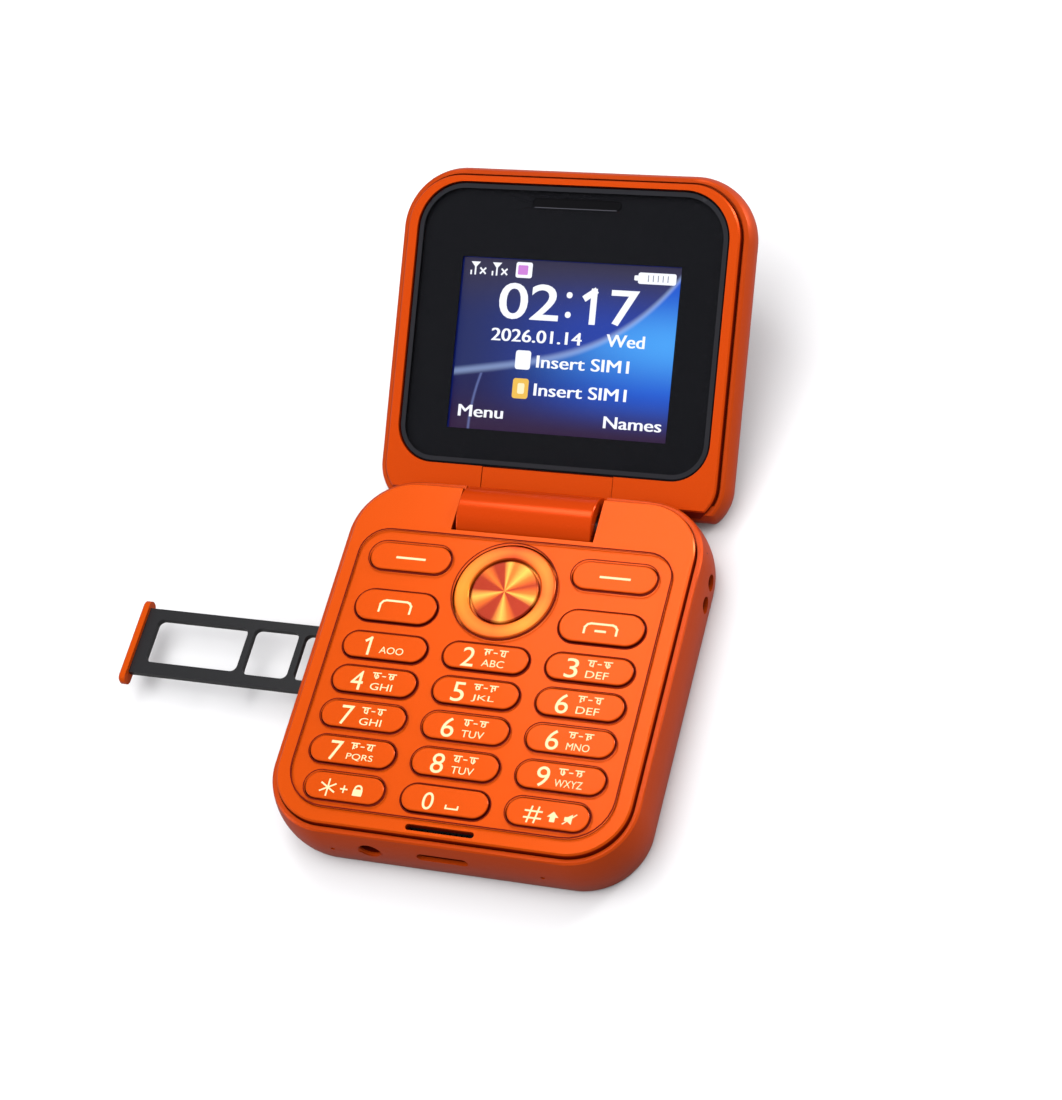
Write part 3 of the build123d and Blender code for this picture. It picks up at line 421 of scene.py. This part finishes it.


# Painted glints and shade round the button.
button_painted_glints = [
    (0.0, GOLD_LOW), (0.048, GOLD_LIT), (0.09, GOLD_MID), (0.14, GOLD_LOW), (0.22, GOLD_LOW),
    (0.27, GOLD_LIT), (0.31, GOLD_MID), (0.35, GOLD_LOW), (0.43, GOLD_LOW), (0.469, GOLD_LIT),
    (0.5, GOLD_MID), (0.554, GOLD_LOW), (0.61, GOLD_MID), (0.654, GOLD_LIT), (0.716, GOLD_MID),
    (0.735, GOLD_MID), (0.76, GOLD_LIT), (0.79, GOLD_LOW), (0.84, GOLD_LOW), (0.884, GOLD_MID),
    (0.93, GOLD_LOW), (1.0, GOLD_LOW),
]
# Painted light round the ring: brightest on the left and darkest on the side towards the hinge.
ring_painted_light = [
    (0.0, shade(216, 112, 24)), (0.12, shade(208, 92, 20)), (0.25, shade(196, 76, 16)),
    (0.36, shade(220, 108, 30)), (0.5, shade(188, 68, 14)), (0.62, shade(206, 88, 22)),
    (0.75, shade(160, 42, 8)), (0.88, shade(208, 94, 26)), (1.0, shade(216, 112, 24)),
]
special["nav_button"] = spun("spun button", button_painted_glints, 0.04)
special["nav_ring"] = spun("anodised ring", ring_painted_light, 0.01)
print("sectors of the button:", len(button_painted_glints), "and of the ring:", len(ring_painted_light))

# %% [markdown]
# Every solid has a slot named in its record. Each slot of each node now gets its finish.

# %% Finishes on the solids
for node in frame["nodes"].values():
    for place in node.material_slots:
        place.material = finishes[place.material.name.split(".")[0]]
for node, material in special.items():
    frame["nodes"][node].material_slots[0].material = material
print("painted", len(frame["nodes"]), "solids with", len(finishes), "finishes")

# %% [markdown]
# The lens lies glued on its black print, and two faces in one place flicker in a picture.
# The visible lens is a merged copy of the solid, its underside raised by a few hundredths.
# A narrow band along its edge gets a lighter finish, a painted highlight where its bevel catches
# light.

# %% Visible lens
LENS_RISE = 0.04 * MM
MERGE = 0.001 * MM
UNDERSIDE = 0.2 * MM       # vertices this far below the mean level are the underside
FLAT = 0.01 * MM           # the front face is level within this
BEVEL_BAND = 0.8 * MM
SLOT_REACH = 10 * MM       # the sound slot's own edge stays dark within this half length
SLOT_RISE = 1.6 * MM
lens_edge_highlight = Finish("lens edge highlight", Base_Color=shade(25, 25, 29), Roughness=0.3,
                   Specular_IOR_Level=0.3).material


def add_piece(name, mesh, body):
    """Puts a finished mesh in the scene as a piece that rides on a body."""
    piece = bpy.data.objects.new(name, mesh)
    bpy.context.collection.objects.link(piece)
    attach(piece, body)
    return piece


def height_of(vert):
    """Height of a vertex out of the lid's face."""
    return vert.co.dot(lid_normal)


def lifted_lens():
    """Merged copy of the lens: underside raised, and the band along its edge in a painted highlight.
    """
    drawing = bmesh.new()
    drawing.from_mesh(frame["nodes"]["display_lens"].data)
    bmesh.ops.remove_doubles(drawing, verts=drawing.verts, dist=MERGE)
    middle_level = sum(height_of(v) for v in drawing.verts) / len(drawing.verts)
    for vert in drawing.verts:
        if height_of(vert) < middle_level - UNDERSIDE:
            vert.co += lid_normal * LENS_RISE
    bmesh.ops.recalc_face_normals(drawing, faces=drawing.faces)
    level = max(height_of(v) for v in drawing.verts) - FLAT
    front = [f for f in drawing.faces if all(height_of(v) > level for v in f.verts)]
    band = bmesh.ops.inset_region(drawing, faces=front, thickness=BEVEL_BAND, use_even_offset=True)
    slot = middle("earpiece_mesh")
    # The band takes the painted highlight, except along the sound slot.
    for face in band["faces"]:
        away = face.calc_center_median() - slot
        if abs(away.x) > SLOT_REACH or abs(away.y) > SLOT_RISE:
            face.material_index = 1
    mesh = bpy.data.meshes.new("visible_lens")
    drawing.to_mesh(mesh)
    drawing.free()
    mesh.materials.append(finishes["lens_glass"])
    mesh.materials.append(lens_edge_highlight)
    return mesh


lens = add_piece("visible_lens", lifted_lens(), "lid")
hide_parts("display_lens")
print("lens faces:", len(lens.data.polygons))

# %% [markdown]
# Legends and the picture on the display are printed or lit flat, so they are drawn as thin faces.
# `Sheet` gathers strokes, rings and words in one drawing, in millimetres round a chosen middle.
# A word starts as a text curve, is turned into a mesh at once and scaled to the height it needs.

# %% Flat drawings
LAYER_STEP = 0.0008        # mm between the shapes of one drawing


class Sheet:
    """Flat drawing made of polygons, drawn in millimetres in the X-Y plane."""

    def __init__(self):
        self.mesh = bmesh.new()
        self.layer = 0

    def face(self, points):
        """One polygon; each lies a little over the one before, so crossing strokes don't flicker."""
        self.layer += 1
        height = self.layer * LAYER_STEP
        corners = [self.mesh.verts.new((x * MM, y * MM, height * MM)) for x, y in points]
        made = self.mesh.faces.new(corners)
        made.normal_update()
        if made.normal.z < 0:
            made.normal_flip()

    def stroke(self, start, end, width):
        """Straight bar between two points, as wide as a pen."""
        a, b = Vector(start), Vector(end)
        along = (b - a).normalized() * width / 2
        side = Vector((-along.y, along.x))
        a, b = a - along, b + along
        self.face([a - side, b - side, b + side, a + side])

    def line(self, points, width):
        """Open outline of straight bars."""
        for start, end in zip(points, points[1:]):
            self.stroke(start, end, width)

    def box(self, centre, size, corner=0.0, steps=4):
        """Filled box with round corners."""
        x, y = centre
        half_x, half_y = size[0] / 2 - corner, size[1] / 2 - corner
        points = []
        for index, (sx, sy) in enumerate(((1, 1), (-1, 1), (-1, -1), (1, -1))):
            for step in range(steps + 1 if corner else 1):
                angle = math.radians(90 * (index + step / steps))
                points.append((x + sx * half_x + corner * math.cos(angle),
                               y + sy * half_y + corner * math.sin(angle)))
        self.face(points)

    def band(self, points, width):
        """Closed outline drawn with a pen: one even band with mitred corners."""
        count = len(points)
        inner, outer = [], []
        for index in range(count):
            before, here, after = (Vector(points[(index + k) % count]) for k in (-1, 0, 1))
            way = (after - before).normalized()
            side = Vector((way.y, -way.x)) * width / 2
            outer.append(here + side)
            inner.append(here - side)
        for index in range(count):
            after = (index + 1) % count
            self.face([inner[index], outer[index], outer[after], inner[after]])

    def ring(self, centre, radius, width, start=0.0, end=360.0, steps=20):
        """Arc between two angles in degrees, a full circle unless they are given."""
        points = []
        for step in range(steps + 1):
            angle = math.radians(start + (end - start) * step / steps)
            points.append((centre[0] + radius * math.cos(angle), centre[1] + radius * math.sin(angle)))
        self.line(points, width)

    def word(self, text, centre, height, width=None, weight=0.0, bold=0.0):
        """Text scaled to a height, and to a width when one is given; bold prints it twice, shifted."""
        curve = bpy.data.curves.new("word", "FONT")
        curve.body = text
        curve.resolution_u = 5
        curve.offset = weight
        holder = bpy.data.objects.new("word", curve)
        bpy.context.collection.objects.link(holder)
        bpy.context.view_layer.update()
        ready = holder.evaluated_get(bpy.context.evaluated_depsgraph_get())
        letters = bpy.data.meshes.new_from_object(ready)
        low = Vector([min(v.co[i] for v in letters.vertices) for i in range(3)])
        high = Vector([max(v.co[i] for v in letters.vertices) for i in range(3)])
        tall = height * MM / (high.y - low.y)
        wide = width * MM / (high.x - low.x) if width else tall
        place = Vector(centre) * MM
        for vert in letters.vertices:
            flat = vert.co - (low + high) / 2
            vert.co = (place.x + flat.x * wide, place.y + flat.y * tall, 0)
        self.mesh.from_mesh(letters)
        if bold:
            letters.transform(Matrix.Translation((bold * MM, 0, LAYER_STEP * MM)))
            self.mesh.from_mesh(letters)
        bpy.data.objects.remove(holder)
        bpy.data.curves.remove(curve)
        bpy.data.meshes.remove(letters)

    def one(self, centre, height, pen):
        """Digit 1 with a flag."""
        x, y = centre
        half = (height - pen) / 2
        self.stroke((x, y - half), (x, y + half), pen)
        self.stroke((x - 0.22 * height, y + half - 0.16 * height), (x, y + half), pen)

    def place(self, name, pose, material, body, slot):
        """Turns the drawing into a piece that rides on a body."""
        mesh = bpy.data.meshes.new(name)
        self.mesh.to_mesh(mesh)
        self.mesh.free()
        mesh.transform(pose)
        mesh.materials.append(material)
        add_piece(name, mesh, body)


print("pens and words ready; layers are", LAYER_STEP, "mm apart")

# %% [markdown]
# Each key carries cream legends, screen printed on the cap before it is fitted: a large digit, three
# letters and a pair of small signs of a second script, joined by a dash. Those signs are drawn from a
# head bar with a few strokes under it, which is how that script is built, but they spell nothing.

# %% Legends of the number keys
cream = Finish("cream ink", Base_Color=shade(190, 172, 130), Roughness=0.5,
               Specular_IOR_Level=0.2).material
SIGNS = (
    ((-0.3, 1.0), (0.25, 0.7)), ((-0.25, 0.6), (0.3, 1.0)),
    ((0.05, 1.0), (-0.35, 0.55)), ((-0.3, 0.8), (0.3, 0.8)),
)
SIGN_PEN = 0.2


def sign(sheet, x, y, kind):
    """Head bar with two hanging strokes and a bowl."""
    sheet.stroke((x - 0.7, y + 0.55), (x + 0.7, y + 0.55), SIGN_PEN)
    for across, drop in SIGNS[kind % len(SIGNS)]:
        sheet.stroke((x + across, y + 0.5), (x + across, y + 0.5 - drop), SIGN_PEN)
    sheet.ring((x - 0.12 + 0.1 * (kind % 3), y - 0.12), 0.32, 0.17, 90 * kind, 90 * kind + 250, 8)


def number_legend(sheet, digit, letters, kind):
    """A digit on the left, letters on the right and, with a kind, two signs over them."""
    if digit == "1":
        sheet.one((-2.7, -0.2), 3.5, 0.46)
    else:
        sheet.word(digit, (-3.0, -0.2), 3.6, 2.25)
    if kind is None:
        sheet.word(letters, (1.5, -0.75), 1.3, 4.4)
        return
    sign(sheet, 0.25, 0.95, kind)
    sheet.stroke((1.35, 0.95), (1.9, 0.95), 0.18)
    sign(sheet, 3.05, 0.95, kind + 1)
    sheet.word(letters, (1.6, -1.05), 1.3, 4.8 if len(letters) > 3 else 4.0)


print("kinds of sign:", len(SIGNS))

# %% [markdown]
# The keys for calls show a handset drawn as one line. The three lower keys carry an asterisk with a
# plus and a lock, a nought with a space mark, and a hash with an arrow and a muted speaker.

# %% Legends of the other keys
def handset(sheet, low, high):
    """Line of a handset seen from the side."""
    half = [(2.85, low), (2.85, high - 0.75), (2.45, high - 0.2), (1.9, high)]
    sheet.line([(-x, y) for x, y in half] + half[::-1], 0.38)


def star_legend(sheet):
    """Asterisk, plus and lock."""
    for turn in range(3):
        angle = math.radians(30 + 60 * turn)
        arm = Vector((math.cos(angle), math.sin(angle))) * 1.45
        sheet.stroke(Vector((-2.9, -0.3)) - arm, Vector((-2.9, -0.3)) + arm, 0.28)
    sheet.stroke((-0.55, -0.3), (0.55, -0.3), 0.26)
    sheet.stroke((0, -0.85), (0, 0.25), 0.26)
    sheet.box((2.55, -0.65), (1.7, 1.2), 0.15)
    sheet.ring((2.55, 0.0), 0.6, 0.3, 0, 180, 10)


def zero_legend(sheet):
    """Nought and space mark."""
    sheet.word("0", (-2.8, -0.4), 3.1, 1.95)
    sheet.line([(0.5, -0.8), (0.5, -1.3), (2.6, -1.3), (2.6, -0.8)], 0.28)


def hash_legend(sheet):
    """Hash, arrow up and muted speaker."""
    for offset in (-0.6, 0.6):
        sheet.stroke((-2.4 + offset - 0.2, -1.7), (-2.4 + offset + 0.2, 1.0), 0.3)
        sheet.stroke((-3.8, -0.35 + offset), (-1.0, -0.35 + offset), 0.3)
    sheet.face([(0.0, -0.4), (2.0, -0.4), (1.0, 0.6)])
    sheet.box((1.0, -0.8), (0.9, 0.9))
    sheet.face([(3.0, -0.75), (3.5, -0.75), (4.3, -1.3), (4.3, 0.5), (3.5, -0.05), (3.0, -0.05)])
    sheet.stroke((2.9, -1.3), (4.9, 0.5), 0.2)


def end_legend(sheet):
    """Handset laid down over a short bar."""
    handset(sheet, -1.2, 0.6)
    sheet.stroke((-0.8, -0.75), (0.8, -0.75), 0.42)


print("legends of the other keys ready")

# %% [markdown]
# The legends are laid a hair over the flat tops, one piece for each key, and each goes down with its
# key. Five rows of three keys carry numbers or signs; some numbers and letters come twice.

# %% Legends printed on the keys
INK_LIFT = 0.015 * MM
NUMBERS = {
    "1": ("1", "AOO", None), "2": ("2", "ABC", 0), "3": ("3", "DEF", 1),
    "4": ("4", "GHI", 2), "5": ("5", "JKL", 3), "6": ("6", "DEF", 4),
    "extra_left": ("7", "GHI", 5), "extra_middle": ("6", "TUV", 6), "extra_right": ("6", "MNO", 7),
    "7": ("7", "PQRS", 8), "8": ("8", "TUV", 9), "9": ("9", "WXYZ", 10),
}


def print_key(node, draw):
    """Draws one legend on the flat top of a key."""
    sheet = Sheet()
    draw(sheet)
    centre = middle(node)
    pose = Matrix.Translation((centre.x, centre.y, key_top + INK_LIFT))
    sheet.place(f"{node}_legend", pose, cream, f"{node}_body", "key_paint")


for label, (digit, letters, kind) in NUMBERS.items():
    print_key(f"key_{label}", lambda sheet: number_legend(sheet, digit, letters, kind))
for side in ("left", "right"):
    print_key(f"soft_key_{side}", lambda sheet: sheet.stroke((-2.4, -0.2), (2.7, -0.2), 0.42))
print_key("call_key", lambda sheet: handset(sheet, -1.2, 0.95))
print_key("end_key", end_legend)
print_key("key_star", star_legend)
print_key("key_0", zero_legend)
print_key("key_hash", hash_legend)
print("legends on", len(NUMBERS) + 7, "keys")

# %% [markdown]
# The narrow gaps round every key, round the ring and along the plate lie in shade, and that shade is
# painted on the plate as a dark line. Each line is a hair-thin band that hugs the hole's edge.

# %% Dark lines round the holes
LINE = 0.2                 # pen of those lines, in mm
PLATE_LINE = 0.26
RING_LINE = 0.22
RING_LINE_RADIUS = 9.42
PLATE_CORNERS = (5.0, 5.0, 7.5, 7.5)
KEY_GAP = 0.2
KEY_TABS = 0.8             # each key's hidden tabs reach this far past its cap
ALMOST = 0.001             # keeps the two corners of an end from meeting in one point
GAP_SHADOW_LIFT = 0.004 * MM
# The lines are painted shade, in the gap red.
gap_shadow_ink = Finish("seam", Base_Color=GAP_SHADE_RED, Roughness=0.7, Specular_IOR_Level=0.1).material


def extent(node):
    """Low and high corner of a CAD node, in millimetres."""
    points = [v.co for v in frame["nodes"][node].data.vertices]
    return [Vector([pick(p[i] for p in points) / MM for i in range(3)]) for pick in (min, max)]


def rounded(low, high, radii, steps=8):
    """Outline of a box with round corners; radii start at the far right and go round."""
    points = []
    corners = ((high.x, high.y), (low.x, high.y), (low.x, low.y), (high.x, low.y))
    for index, ((x, y), radius) in enumerate(zip(corners, radii)):
        middle_x = x - radius if index in (0, 3) else x + radius
        middle_y = y - radius if index in (0, 1) else y + radius
        for step in range(steps + 1):
            angle = math.radians(90 * (index + step / steps))
            points.append((middle_x + radius * math.cos(angle), middle_y + radius * math.sin(angle)))
    return points


gap_shadows = Sheet()
for node in frame["nodes"]:
    if node.startswith(("key_", "soft_key_", "call_key", "end_key")):
        low, high = extent(node)
        grow = Vector((KEY_GAP + LINE / 2 - KEY_TABS, KEY_GAP + LINE / 2, 0))
        low, high = low - grow, high + grow
        gap_shadows.band(rounded(low, high, [(high.y - low.y) / 2 - ALMOST] * 4), LINE)
low, high = extent("keypad_plate")
gap_shadows.band(rounded(low, high, PLATE_CORNERS), PLATE_LINE)
ring_middle = middle("nav_ring") / MM
gap_shadows.ring((ring_middle.x, ring_middle.y), RING_LINE_RADIUS, RING_LINE, steps=64)
gap_shadow_pose = Matrix.Translation((0, 0, plate_top + GAP_SHADOW_LIFT))
print("faces in the seam lines:", len(gap_shadows.mesh.faces))
gap_shadows.place("plate_gap_shadows", gap_shadow_pose, gap_shadow_ink, "base", "cover_paint")

# %% [markdown]
# The display is lit. Its wallpaper runs from dark blue on the left to bright blue on the right, with
# plum at the bottom, a soft curve of light that rises across it and a thin one at the left. All of it
# is worked out from the place on the panel. Words and signs are flat shapes a hair over it, and each
# layer is a little higher than the one under it.

# %% Display picture
panel_top = lid_span("display_panel")[1].z
SCREEN_X = 0.25            # middle of the picture, across the lid, in mm
SCREEN_HALF = 20.5
SCREEN_LOW = 16.1
SCREEN_HIGH = 46.8
PICTURE_LEVEL, WORD_LEVEL, SIGN_LEVEL = 0.02, 0.04, 0.06   # heights over the panel, in mm


def wallpaper():
    """Lit picture behind the words: x runs from -1 to 1 across the panel, y from 0 to 1 up it."""
    finish = Finish("wallpaper", Base_Color=shade(4, 4, 8), Roughness=0.4, Emission_Strength=1.0)
    along = lid_pose.to_3x3() @ Vector((0, 1, 0))
    x = (finish.along((1, 0, 0)) / MM - SCREEN_X) / SCREEN_HALF
    start = hinge_point.dot(along) + SCREEN_LOW * MM
    y = finish.along(along, start) / ((SCREEN_HIGH - SCREEN_LOW) * MM)
    sky = finish.mix(x.ease(-1.0, 0.4), shade(34, 44, 100), shade(36, 66, 170))
    sky = finish.mix(y.ease(0.6, 1.0), sky, shade(54, 50, 76))
    deep = finish.mix(x.ease(-0.9, 0.9), shade(30, 30, 84), shade(28, 92, 214))
    bright = x.ease(-0.7, 1.0) * (1 - (y - 0.56).math("ABSOLUTE").ease(0.0, 0.34))
    deep = finish.mix(bright, deep, shade(76, 170, 255))
    rise = (x + 1.0) * (x + 1.0)
    curve = y - 0.33 - (x + 1.0) * 0.11 - rise * rise * 0.025
    body = finish.mix(curve.ease(-0.012, 0.012), deep, sky)
    body = finish.mix(y.ease(0.0, 0.3), shade(50, 26, 62), body)
    beam = 1 - curve.math("ABSOLUTE").ease(0.0, 0.035)
    thread = 1 - (x + 0.82 - y * y * 0.7).math("ABSOLUTE").ease(0.0, 0.02)
    body = finish.mix(thread * (y < 0.33) * 0.35, body, shade(150, 170, 240))
    finish.set(Emission_Color=finish.mix(beam * 0.5, body, shade(176, 200, 246)))
    return finish.material


def lid_layer(height):
    """Pose of a drawing on the lid, a height in mm over the panel."""
    return lid_pose @ Matrix.Translation((0, 0, panel_top + height * MM))


picture = Sheet()
picture.box((SCREEN_X, (SCREEN_LOW + SCREEN_HIGH) / 2), (2 * SCREEN_HALF, SCREEN_HIGH - SCREEN_LOW))
picture.place("screen_wallpaper", lid_layer(PICTURE_LEVEL), wallpaper(), "lid", "screen")
print("display drawn", 2 * SCREEN_HALF, "mm wide")

# %% [markdown]
# Clock, date, notices and the labels of the two soft keys are lit white. The clock's large digits
# have a thickened outline. That breaks small letters, so the words are printed twice, a little apart.

# %% Words on the display
BOLD = 0.16


def glow(name, colour):
    """Lit colour of the display, a little brighter than it is written."""
    base = shade(4, 4, 4)
    return Finish(name, Base_Color=base, Emission_Color=colour, Emission_Strength=1.15).material


words = Sheet()
words.word("02", (-7.2, 39.4), 6.5, 11.4, 0.01)
words.box((0.3, 41.0), (1.1, 1.1), 0.5)
words.box((0.3, 37.5), (1.1, 1.1), 0.5)
words.one((4.9, 39.2), 6.4, 1.15)
words.word("7", (10.7, 39.2), 6.3, 5.2, 0.01)
words.word("2026.01.14", (-5.3, 33.3), 2.25, 17.0, bold=BOLD)
words.word("Wed", (11.4, 33.4), 2.2, 7.0, bold=BOLD)
words.word("Insert SIM1", (3.85, 28.9), 2.2, 17.2, bold=BOLD)
words.word("Insert SIM1", (3.85, 23.9), 2.2, 17.2, bold=BOLD)
words.word("Menu", (-14.5, 19.3), 2.1, 8.5, bold=BOLD)
words.word("Names", (14.1, 19.0), 2.1, 10.6, bold=BOLD)
for x in (-18.0, -13.9):
    words.face([(x - 0.9, 46.1), (x + 0.9, 46.1), (x, 45.0)])
    words.stroke((x, 45.2), (x, 43.9), 0.3)
    words.stroke((x - 0.8, 44.4), (x - 0.8, 43.9), 0.3)
    for turn in (-1, 1):
        words.stroke((x + 1.0, 44.5 + 0.45 * turn), (x + 1.9, 44.5 - 0.45 * turn), 0.3)
words.box((16.2, 44.7), (7.0, 2.0), 0.4)
words.box((12.4, 44.7), (0.8, 0.9), 0.2)
words.box((-7.3, 29.0), (2.9, 3.4), 0.5)
words.box((-8.7, 45.0), (3.1, 2.8), 0.4)
white_glow = glow("screen white", shade(250, 251, 255))
words.place("screen_words", lid_layer(WORD_LEVEL), white_glow, "lid", "screen")
print("words and signs on the display drawn")

# %% [markdown]
# A few signs are coloured: one card is amber with a pale chip, one mark at the top is pink, and the
# battery has grey bars. Each is a piece of its own, and those that lie on another lie a layer higher.

# %% Coloured signs on the display
lit_boxes = (
    ("card", (-7.3, 23.9), (3.0, 3.6), 0.5, WORD_LEVEL, "amber", shade(240, 190, 80)),
    ("chip", (-7.2, 23.9), (1.3, 1.9), 0.3, SIGN_LEVEL, "cream", shade(255, 240, 190)),
    ("pink", (-8.9, 45.0), (1.9, 1.7), 0.2, SIGN_LEVEL, "pink", shade(208, 130, 214)),
)
for name, centre, size, corner, height, tint, colour in lit_boxes:
    box = Sheet()
    box.box(centre, size, corner)
    box.place(f"screen_{name}", lid_layer(height), glow(f"screen {tint}", colour), "lid", "screen")
bars = Sheet()
for step in range(5):
    bars.stroke((14.6 + step * 0.9, 45.2), (14.6 + step * 0.9, 44.2), 0.14)
grey_glow = glow("screen grey", shade(90, 100, 120))
bars.place("screen_bars", lid_layer(SIGN_LEVEL), grey_glow, "lid", "screen")
print("coloured signs:", len(lit_boxes) + 1)

# %% [markdown]
# The sound slot over the display is cut through the lens. Its lower edge is rounded and catches the
# light, which shows as one thin grey line; it is drawn just on the lens's face.

# %% Lit edge of the sound slot
EAR_X = 0.43               # middle of the slot, across the lid
EAR_DROP = 4.0             # from the lens's end to the slot's lower edge
EAR_HALF = 7.6
EAR_LIFT = 0.003 * MM
lens_high = lid_span("display_lens")[1]
ear_y = lens_high.y / MM - EAR_DROP - 0.06
slot_edge = Sheet()
slot_edge.stroke((EAR_X - EAR_HALF, ear_y), (EAR_X + EAR_HALF, ear_y), 0.14)
slot_light = Finish("slot edge", Base_Color=shade(52, 52, 58), Roughness=0.35,
                    Specular_IOR_Level=0.3).material
face_pose = lid_pose @ Matrix.Translation((0, 0, lens_high.z + EAR_LIFT))
slot_edge.place("ear_slot_edge", face_pose, slot_light, "lid", "lens_glass")
print("slot edge drawn", 2 * EAR_HALF, "mm long")

# %% [markdown]
# The phone stands on a plain pale floor that keeps its shadow. To the camera the floor is paler than
# to the light that bounces off it. Far from the phone it fades to white, so that low views show hardly
# any horizon.

# %% Floor
FLOOR_HALF = 3.0           # metres
FLOOR_GAP = 0.02 * MM
FLOOR_BOUNCE = (0.2, 0.2, 0.2, 1)
FLOOR_SEEN = (0.5, 0.5, 0.505, 1)
FADE_FROM, FADE_TO = 0.3, 0.7
floor_mesh = bpy.data.meshes.new("floor")
corners = [(x * FLOOR_HALF, y * FLOOR_HALF, 0) for x, y in ((-1, -1), (1, -1), (1, 1), (-1, 1))]
floor_mesh.from_pydata(corners, [], [(0, 1, 2, 3)])
floor = bpy.data.objects.new("floor", floor_mesh)
floor.location.z = cad_box[0][2] - FLOOR_GAP
bpy.context.collection.objects.link(floor)
floor_finish = Finish("floor", Roughness=0.95, Specular_IOR_Level=0.0)
ray = floor_finish.node("LightPath")
across, ahead = floor_finish.along((1, 0, 0)), floor_finish.along((0, 1, 0))
distance = (across * across + ahead * ahead).math("SQRT")
far = distance.ease(FADE_FROM, FADE_TO) * ray
floor_finish.set(Emission_Color=floor_finish.grey(far), Emission_Strength=1.0)
floor_finish.set(Base_Color=floor_finish.mix(ray, FLOOR_BOUNCE, FLOOR_SEEN))
floor_mesh.materials.append(floor_finish.material)
floor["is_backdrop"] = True
print("floor at Z in mm:", round(floor.location.z / MM, 3))

# %% [markdown]
# One broad lamp overhead gives the even light and the soft shadow. It isn't mirrored, so it leaves no
# white patch on the paint. Three small lamps are mirrored: they put the sheen on the right of the
# cover, a little light on the left wall and a thin highlight along the right edges.

# %% Lamps
def lamp(name, place, aim, size, watts, mirrored=True):
    """Soft rectangular lamp, in millimetres; one that isn't mirrored lights without a highlight."""
    light = bpy.data.lights.new(name, "AREA")
    light.shape = "RECTANGLE"
    light.size = size[0] * MM
    light.size_y = size[1] * MM
    light.energy = watts
    made = bpy.data.objects.new(name, light)
    start = Vector(place) * MM
    made.location = start
    made.rotation_euler = (Vector(aim) * MM - start).to_track_quat("-Z", "Y").to_euler()
    made.visible_glossy = mirrored
    bpy.context.collection.objects.link(made)
    made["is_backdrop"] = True


lamp("sky panel", (-50, -70, 620), (0, 0, 10), (640, 640), 6.5, mirrored=False)
lamp("sheen panel", (-95, 230, 420), (10, 0, 10), (150, 150), 0.5)
lamp("side panel", (-420, -160, 200), (0, 0, 10), (200, 200), 0.5)
lamp("rim strip", (340, 340, 120), (0, 0, 20), (100, 300), 2.6)
print("lamps:", len(bpy.data.lights))

# %% [markdown]
# The world fills the shadows with an even grey and is plain white where the camera sees it. Shiny
# surfaces see a darker grey instead, which keeps the dark lens dark.

# %% World
WHITE = (1, 1, 1, 1)
FILL_GREY = (0.75, 0.75, 0.77, 1)
MIRRORED_GREY = (0.3, 0.3, 0.31, 1)
world = bpy.data.worlds.new("soft room")
world.use_nodes = True
bpy.context.scene.world = world
tree = world.node_tree
background = tree.nodes["Background"]
path = tree.nodes.new("ShaderNodeLightPath")


def world_mix(ray, other, colour):
    """Background colour for one kind of ray, over what the other rays see."""
    mix = tree.nodes.new("ShaderNodeMix")
    mix.data_type = "RGBA"
    tree.links.new(path.outputs[ray], mix.inputs[0])
    if isinstance(other, tuple):
        mix.inputs[6].default_value = other
    else:
        tree.links.new(other, mix.inputs[6])
    mix.inputs[7].default_value = colour
    return mix.outputs[2]


seen = world_mix("Is Glossy Ray", FILL_GREY, MIRRORED_GREY)
seen = world_mix("Is Camera Ray", seen, WHITE)
tree.links.new(seen, background.inputs["Color"])
background.inputs["Strength"].default_value = 1.0
print("world: white for the camera, grey for reflections")

# %% [markdown]
# The camera stands above and in front, a little to the right, and looks down on the open phone.
# Its three directions are written out, and its place is in millimetres.

# %% Camera
right = Vector((0.9361117, 0.2435997, -0.2536812))
down = Vector((0.0882941, -0.8609680, -0.5009373))
forward = Vector((-0.3404396, 0.4465347, -0.8274706))
camera_place = Vector((151.600, -173.919, 375.268)) * MM
camera = bpy.data.objects.new("camera", bpy.data.cameras.new("camera"))
camera.data.sensor_fit = "HORIZONTAL"
camera.data.sensor_width = 36
camera.data.lens = 86.49
turned = Matrix((right, -down, -forward)).transposed().to_4x4()
camera.matrix_world = Matrix.Translation(camera_place) @ turned
camera.data.clip_start = 0.01
camera.data.clip_end = 20
bpy.context.collection.objects.link(camera)
bpy.context.scene.camera = camera
bpy.context.scene.view_settings.view_transform = "Standard"
print("camera stands", round(camera_place.length / MM), "mm from the origin")

# %% [markdown]
# Last, the size of the dressed phone is compared with the box of the bare solids.

# %% Size
dressed_box = [list(corner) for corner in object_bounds()]
growth = [[round((d - c) / MM, 3) for c, d in zip(a, b)] for a, b in zip(cad_box, dressed_box)]
print("growth in mm:", growth)
